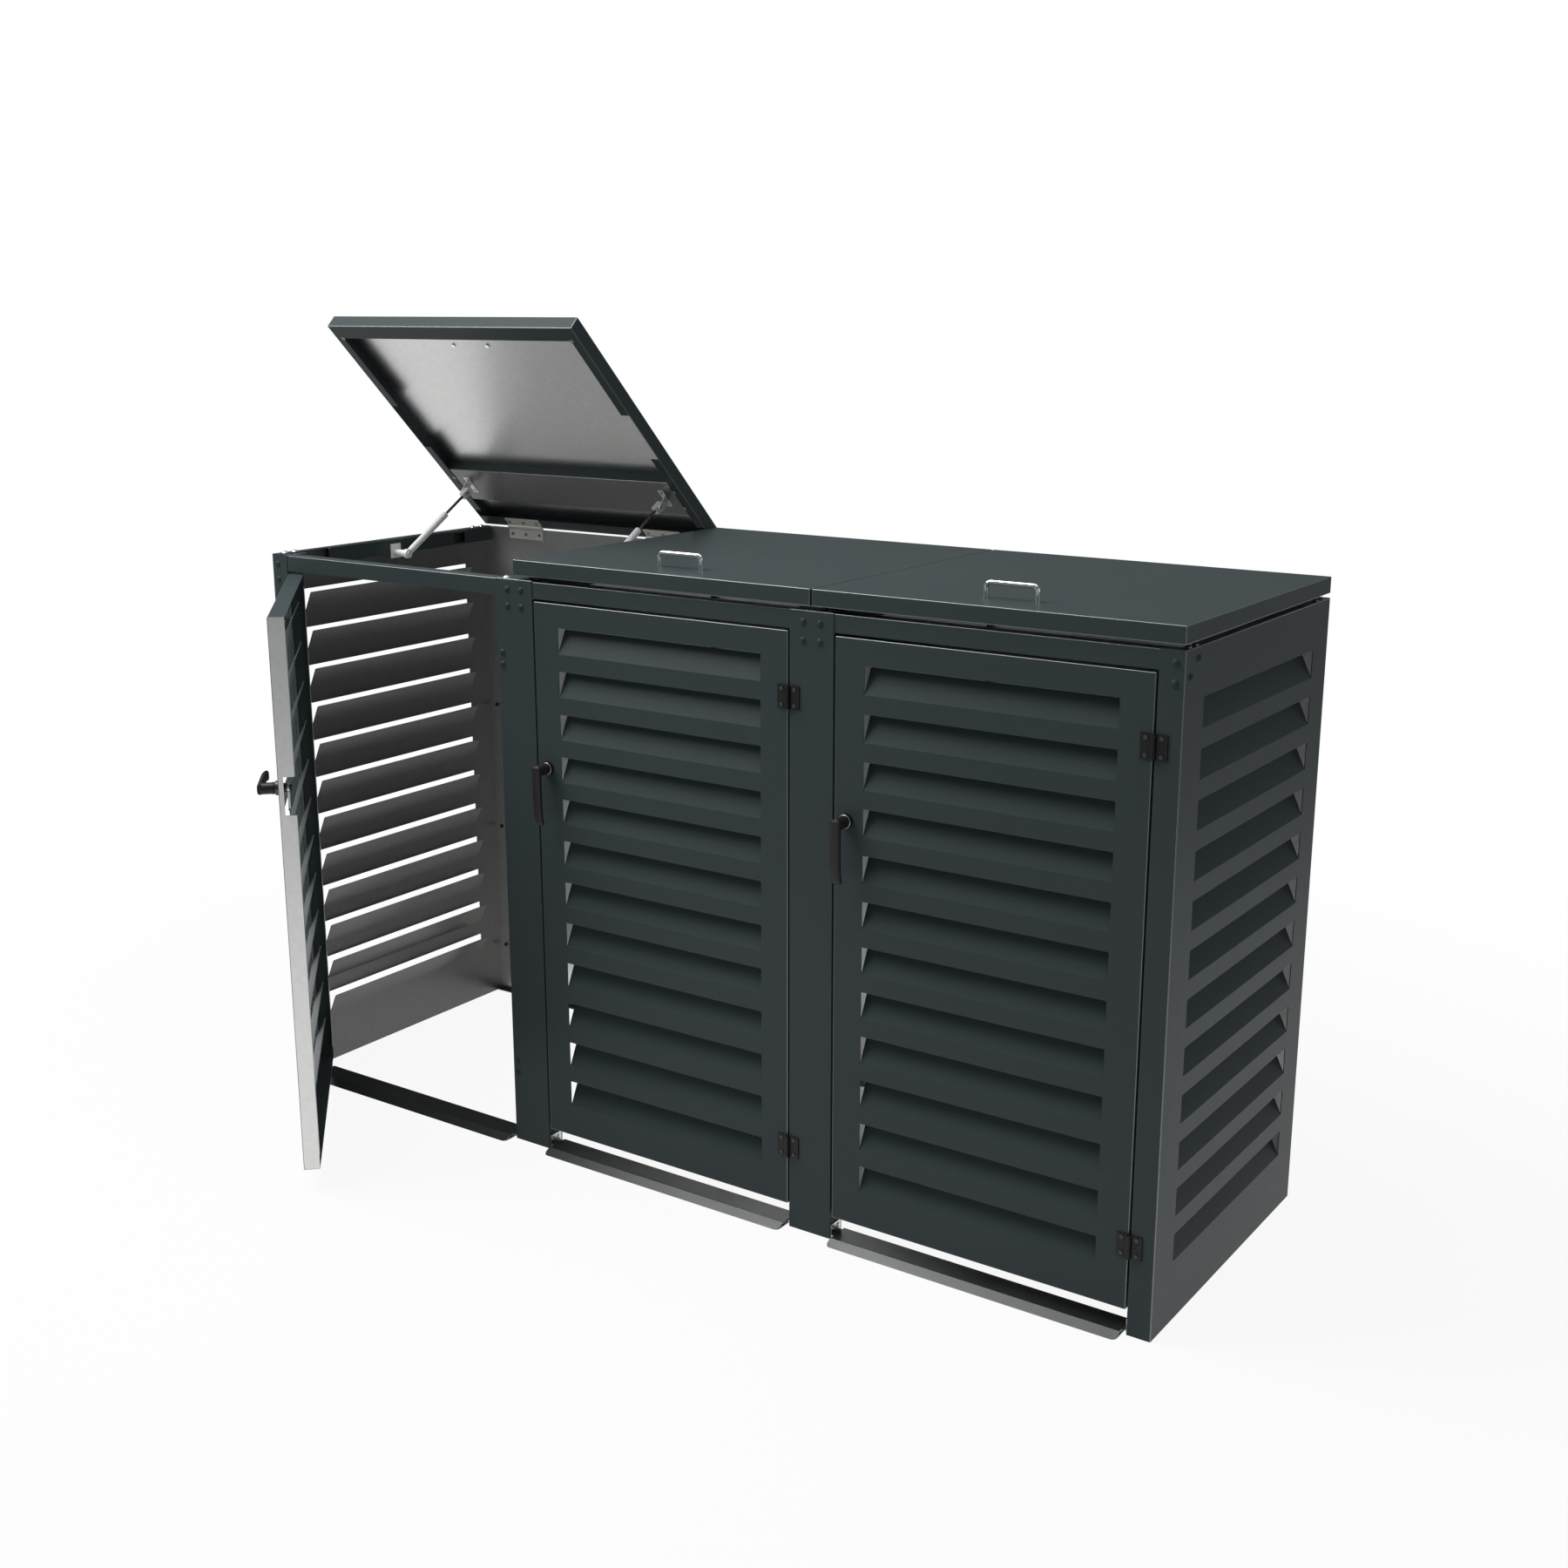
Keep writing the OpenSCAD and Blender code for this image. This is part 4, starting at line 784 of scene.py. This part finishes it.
class STORE_OT_levers(bpy.types.Operator):
    """Make the door levers, with a bright ring round each rose, which is a painted highlight of the rose's edge.
    """

    bl_idname = "store.levers"
    bl_label = "Levers"

    def execute(self, context):
        sizes = context.scene.store_lever
        for bay in BAYS:
            origin, out, grip, side, low, high = lever_frame(bay)
            reach, drop, width = high[0], high[1], high[2] - low[2]
            # Middle line of the grip, as shares of its reach and its length, from the top down
            line = smooth_path(np.array([
                [0.870, low[1] / drop + 0.010], [0.872, -0.02], [0.870, 0.12], [0.866, 0.35],
                [0.858, 0.60], [0.840, 0.78], [0.800, 0.89], [0.740, 0.950], [0.690, 0.962],
            ]) * [reach, drop], 72)
            s = np.linspace(0, 1, len(line))
            # The section thins a little to the hook, and is drawn in like a quarter circle at both ends
            from_end = np.minimum(s, 1 - s) / 0.045
            end = np.sqrt(1 - np.clip(1 - from_end, 0, 1) ** 2).clip(0.03, 1)
            widths = width * np.interp(s, [0, 0.12, 0.5, 0.82, 1], [1.0, 1.0, 0.98, 0.96, 0.86])
            depths = reach * np.interp(s, [0, 0.14, 0.3, 0.8, 1], [0.25, 0.25, 0.24, 0.235, 0.20]) * end
            path = origin + line[:, :1] * out + line[:, 1:] * grip
            bar = swept(path, widths * (0.5 + 0.5 * end), depths, side, sizes.corner_power)
            neck, collar, tip = sizes.neck_radius, sizes.collar_radius, reach * 0.93
            profile = np.array([
                [0.2 * MM, low[0]], [6 * MM, low[0]], [6 * MM, 4 * MM], [collar - 0.6 * MM, 6.1 * MM],
                [collar, 7 * MM], [collar, 9.5 * MM], [neck + 0.5 * MM, 11.5 * MM], [neck, 14 * MM],
                [neck, tip - 5 * MM], [neck * 0.96, tip - 3 * MM], [neck * 0.8, tip - 1 * MM],
                [0.2 * MM, tip],
            ])
            lever = piece(
                f"lever_{bay}", [bar, turned(profile, origin, out)], FINISHES["black_lever"],
                f"door_handle_{bay}", radians(50),
            )
            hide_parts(f"door_handle_{bay}")
            coat_node(f"door_handle_{bay}", FINISHES["black_lever"])
            # A ring of light tone round each rose is a painted highlight of the rose's edge.
            t = np.linspace(0, 2 * pi, 20, endpoint=False)
            wire = sizes.ring_wire / 2
            ring_line = np.stack([
                sizes.ring_radius - wire + wire * np.cos(t), sizes.ring_height + wire * np.sin(t)
            ], axis=1)
            piece(
                f"rose_ring_{bay}", [ring_skin(ring_line, origin, out)], FINISHES["ring"],
                f"door_{bay}",
            )
        return {"FINISHED"}


# ---------------------------------------------------------------- screws under the lids


class STORE_OT_lid_screws(bpy.types.Operator):
    """Make the screws in the returns under each lid."""

    bl_idname = "store.lid_screws"
    bl_label = "Lid Screws"

    def execute(self, context):
        sizes = context.scene.store_screws
        r, h, socket = sizes.head_radius, sizes.head_height, sizes.socket_radius
        # Radius and height of a domed head from its socket's floor out and round to its seat
        profile = np.array([
            [0.1 * MM, 0.45 * h], [socket, 0.45 * h], [socket, h], [0.6 * r, 0.94 * h],
            [0.85 * r, 0.72 * h], [r, 0.3 * h], [r, 0], [0.5 * r, -0.3 * MM], [0.1 * MM, -0.3 * MM],
        ])
        for bay in BAYS:
            hinge = np.array(JOINTS[f"lid_{bay}_hinge"]["pos_m"])
            turn = LEFT_LID_OPEN if bay == "left" else 0.0
            rotate = np.array([
                [1, 0, 0], [0, np.cos(turn), np.sin(turn)], [0, -np.sin(turn), np.cos(turn)]
            ])
            points = (np.array([v.co for v in NODES[f"lid_{bay}"].data.vertices]) - hinge) @ rotate
            low, high = points.min(axis=0), points.max(axis=0)
            rear = high[1] - sizes.rear_in
            rows = [low[1] + sizes.front_in, rear, rear - sizes.rear_step]
            seats = np.array([
                [x, y, low[2]] for x in (low[0] + sizes.side_in, high[0] - sizes.side_in) for y in rows
            ]) @ rotate.T + hinge
            down = rotate @ [0, 0, -1]
            piece(
                f"lid_screws_{bay}", [turned(profile, seat, down, around=24) for seat in seats],
                FINISHES["screw_steel"], f"lid_{bay}",
            )
        return {"FINISHED"}


# ---------------------------------------------------------------- stage

# Borders of the floor inside the two shut bays, each as a pair of (place, share)
SHUT_LEFT = (-0.36, 0.0), (-0.30, 1.0)
SHUT_RIGHT = (1.01, 1.0), (1.03, 0.0)
SHUT_FRONT = (0.11, 0.0), (0.16, 1.0)
SHUT_BACK = (0.64, 1.0), (0.66, 0.0)
# Distances from the store's middle where the floor starts and ends to whiten, and to dim in a mirror
WHITENS = 1.3, 3.2
DIMS = 0.8, 4.5
# Heights of a direction between which a mirror goes over from the white floor to the dim room
HORIZON = (-0.10, 1.0), (-0.02, 0.0)


def lamp(name, place, aim, size, power):
    """Rectangular soft lamp at a place, turned to its aim."""
    data = bpy.data.lights.new(name, "AREA")
    data.shape = "RECTANGLE"
    data.size, data.size_y = size
    data.energy = power
    made = bpy.data.objects.new(name, data)
    bpy.context.scene.collection.objects.link(made)
    made.location = place
    made.rotation_euler = (Vector(aim) - Vector(place)).to_track_quat("-Z", "Y").to_euler()


def joined(tree, operation, first, second):
    """Result of a sum, product or maximum of two sockets."""
    node = tree.nodes.new("ShaderNodeMath")
    node.operation = operation
    tree.links.new(first, node.inputs[0])
    tree.links.new(second, node.inputs[1])
    return node.outputs[0]


def ramp(tree, value, lows, highs):
    """Smooth step of a value from one pair of (value, result) to another."""
    node = tree.nodes.new("ShaderNodeMapRange")
    node.interpolation_type = "SMOOTHSTEP"
    for socket, number in zip(("From Min", "To Min", "From Max", "To Max"), (*lows, *highs)):
        node.inputs[socket].default_value = number
    tree.links.new(value, node.inputs["Value"])
    return node.outputs["Result"]


def looks(tree):
    """Two numbers: one where the camera looks at a surface, straight or through glass, and one
    where a mirror does. Both are zero where the surface only lights others."""
    path = tree.nodes.new("ShaderNodeLightPath").outputs
    return joined(tree, "MAXIMUM", path["Is Camera Ray"], path["Is Transmission Ray"]), path["Is Glossy Ray"]


def shut_floor(tree, place):
    """A number that is one on the floor inside the two shut bays, and zero round them."""
    parts = tree.nodes.new("ShaderNodeSeparateXYZ")
    tree.links.new(place, parts.inputs[0])
    x, y = parts.outputs["X"], parts.outputs["Y"]
    across = joined(tree, "MULTIPLY", ramp(tree, x, *SHUT_LEFT), ramp(tree, x, *SHUT_RIGHT))
    deep = joined(tree, "MULTIPLY", ramp(tree, y, *SHUT_FRONT), ramp(tree, y, *SHUT_BACK))
    return joined(tree, "MULTIPLY", across, deep)


def floor_finish(stage):
    """Matt pale floor that keeps its shadows. The camera sees it go over to plain white away from
    the store, and a mirror sees it white near the store and dimmer beyond. Inside the shut bays both
    see its own light."""
    material = bpy.data.materials.new("pale floor")
    material.use_nodes = True
    tree = material.node_tree
    shader = tree.nodes["Principled BSDF"]
    shader.inputs["Base Color"].default_value = (*stage.floor_colour, 1)
    shader.inputs["Roughness"].default_value = 0.9
    shader.inputs["Specular IOR Level"].default_value = 0.1
    away = tree.nodes.new("ShaderNodeVectorMath")
    away.operation = "LENGTH"
    place = tree.nodes.new("ShaderNodeTexCoord").outputs["Object"]
    tree.links.new(place, away.inputs[0])
    camera, mirror = looks(tree)
    open_air = ramp(tree, shut_floor(tree, place), (0.0, 1.0), (1.0, 0.0))
    distance = away.outputs["Value"]
    to_camera = ramp(tree, distance, (WHITENS[0], stage.floor_white), (WHITENS[1], 1.0))
    to_mirror = ramp(tree, distance, (DIMS[0], stage.floor_near), (DIMS[1], stage.floor_far))
    seen = joined(
        tree, "MAXIMUM",
        joined(tree, "MULTIPLY", camera, to_camera),
        joined(tree, "MULTIPLY", mirror, to_mirror),
    )
    both = tree.nodes.new("ShaderNodeMixShader")
    tree.links.new(joined(tree, "MULTIPLY", open_air, seen), both.inputs["Fac"])
    tree.links.new(shader.outputs[0], both.inputs[1])
    tree.links.new(tree.nodes.new("ShaderNodeEmission").outputs[0], both.inputs[2])
    tree.links.new(both.outputs[0], tree.nodes["Material Output"].inputs["Surface"])
    return material


def surroundings(scene, stage):
    """Dim even light from all round. The camera sees plain white there, and a mirror sees that
    white under the horizon and the dim room over it."""
    world = bpy.data.worlds.new("surroundings")
    scene.world = world
    world.use_nodes = True
    tree = world.node_tree
    room, white = tree.nodes["Background"], tree.nodes.new("ShaderNodeBackground")
    for background, strength in ((room, stage.sky), (white, 1.0)):
        background.inputs["Strength"].default_value = strength
    room.inputs["Color"].default_value = (*stage.sky_colour, 1)
    white.inputs["Color"].default_value = (1, 1, 1, 1)
    height = tree.nodes.new("ShaderNodeSeparateXYZ")
    tree.links.new(tree.nodes.new("ShaderNodeTexCoord").outputs["Generated"], height.inputs[0])
    camera, mirror = looks(tree)
    low = ramp(tree, height.outputs["Z"], *HORIZON)
    chosen = tree.nodes.new("ShaderNodeMixShader")
    tree.links.new(
        joined(tree, "MAXIMUM", camera, joined(tree, "MULTIPLY", mirror, low)), chosen.inputs["Fac"]
    )
    tree.links.new(room.outputs[0], chosen.inputs[1])
    tree.links.new(white.outputs[0], chosen.inputs[2])
    tree.links.new(chosen.outputs[0], tree.nodes["World Output"].inputs["Surface"])


class STORE_OT_stage(bpy.types.Operator):
    """Set the camera, the pale floor, the white surroundings and the soft lamps."""

    bl_idname = "store.stage"
    bl_label = "Stage"

    def execute(self, context):
        stage = context.scene.store_stage
        view = bpy.data.cameras.new("camera")
        view.lens = stage.lens
        view.clip_end = 100
        camera = bpy.data.objects.new("camera", view)
        context.scene.collection.objects.link(camera)
        camera.location = stage.camera_place
        camera.rotation_euler = stage.camera_turn
        context.scene.camera = camera
        context.scene.view_settings.view_transform = "Standard"

        # The floor lies level, a hair under the feet
        steps = np.linspace(-stage.floor_reach, stage.floor_reach, 9)
        x, y = np.meshgrid(steps, steps, indexing="ij")
        points = np.stack([x, y, np.full_like(x, -0.05 * MM)], axis=-1).reshape(-1, 3)
        number = np.arange(81).reshape(9, 9)
        quads = np.stack([number[:-1, :-1], number[1:, :-1], number[1:, 1:], number[:-1, 1:]], axis=-1)
        mesh = bpy.data.meshes.new("floor")
        mesh.from_pydata(points.tolist(), [], quads.reshape(-1, 4).tolist())
        mesh.materials.append(floor_finish(stage))
        floor = bpy.data.objects.new("floor", mesh)
        context.scene.collection.objects.link(floor)

        surroundings(context.scene, stage)
        for name, place, aim, size, energy in (
            ("softbox over the left front", (-1.85, -1.0, 4.0), (0.1, 0.1, 1.1), (2.4, 3.4), stage.softbox),
            ("wide lamp overhead", (0.6, 0.4, 3.8), (0.2, 0.3, 1.0), (3.6, 2.4), stage.ceiling),
            ("fill lamp on the right", (4.6, -0.6, 2.4), (1.0, 0.2, 0.8), (2.0, 2.0), stage.fill),
        ):
            lamp(name, place, aim, size, energy)
        return {"FINISHED"}


# ---------------------------------------------------------------- sidebar


class STORE_PT_panel(bpy.types.Panel):
    """Sizes, finishes and steps of the store."""

    bl_idname = "STORE_PT_panel"
    bl_label = "Three-Bay Store"
    bl_space_type = "VIEW_3D"
    bl_region_type = "UI"
    bl_category = "Store"

    def draw(self, context):
        for title, group in GROUPS.items():
            box = self.layout.box()
            box.label(text=group.__doc__)
            for name in group.__annotations__:
                box.prop(getattr(context.scene, title), name)
        for operator in OPERATORS:
            self.layout.operator(operator.bl_idname)


GROUPS = {
    "store_finishes": StoreFinishes,
    "store_folds": StoreFolds,
    "store_fittings": StoreFittings,
    "store_lever": StoreLever,
    "store_screws": StoreScrews,
    "store_stage": StoreStage,
}
OPERATORS = (
    STORE_OT_finishes, STORE_OT_folded_sheets, STORE_OT_hinges_and_rods, STORE_OT_levers,
    STORE_OT_lid_screws, STORE_OT_stage,
)


def register():
    for cls in (*GROUPS.values(), *OPERATORS, STORE_PT_panel):
        bpy.utils.register_class(cls)
    for title, group in GROUPS.items():
        setattr(bpy.types.Scene, title, bpy.props.PointerProperty(type=group))


def unregister():
    for title in GROUPS:
        delattr(bpy.types.Scene, title)
    for cls in reversed((*GROUPS.values(), *OPERATORS, STORE_PT_panel)):
        bpy.utils.unregister_class(cls)


def main():
    register()
    bpy.ops.store.finishes()
    bpy.ops.store.folded_sheets()
    bpy.ops.store.hinges_and_rods()
    bpy.ops.store.levers()
    bpy.ops.store.lid_screws()
    bpy.ops.store.stage()


if __name__ == "__main__":
    main()
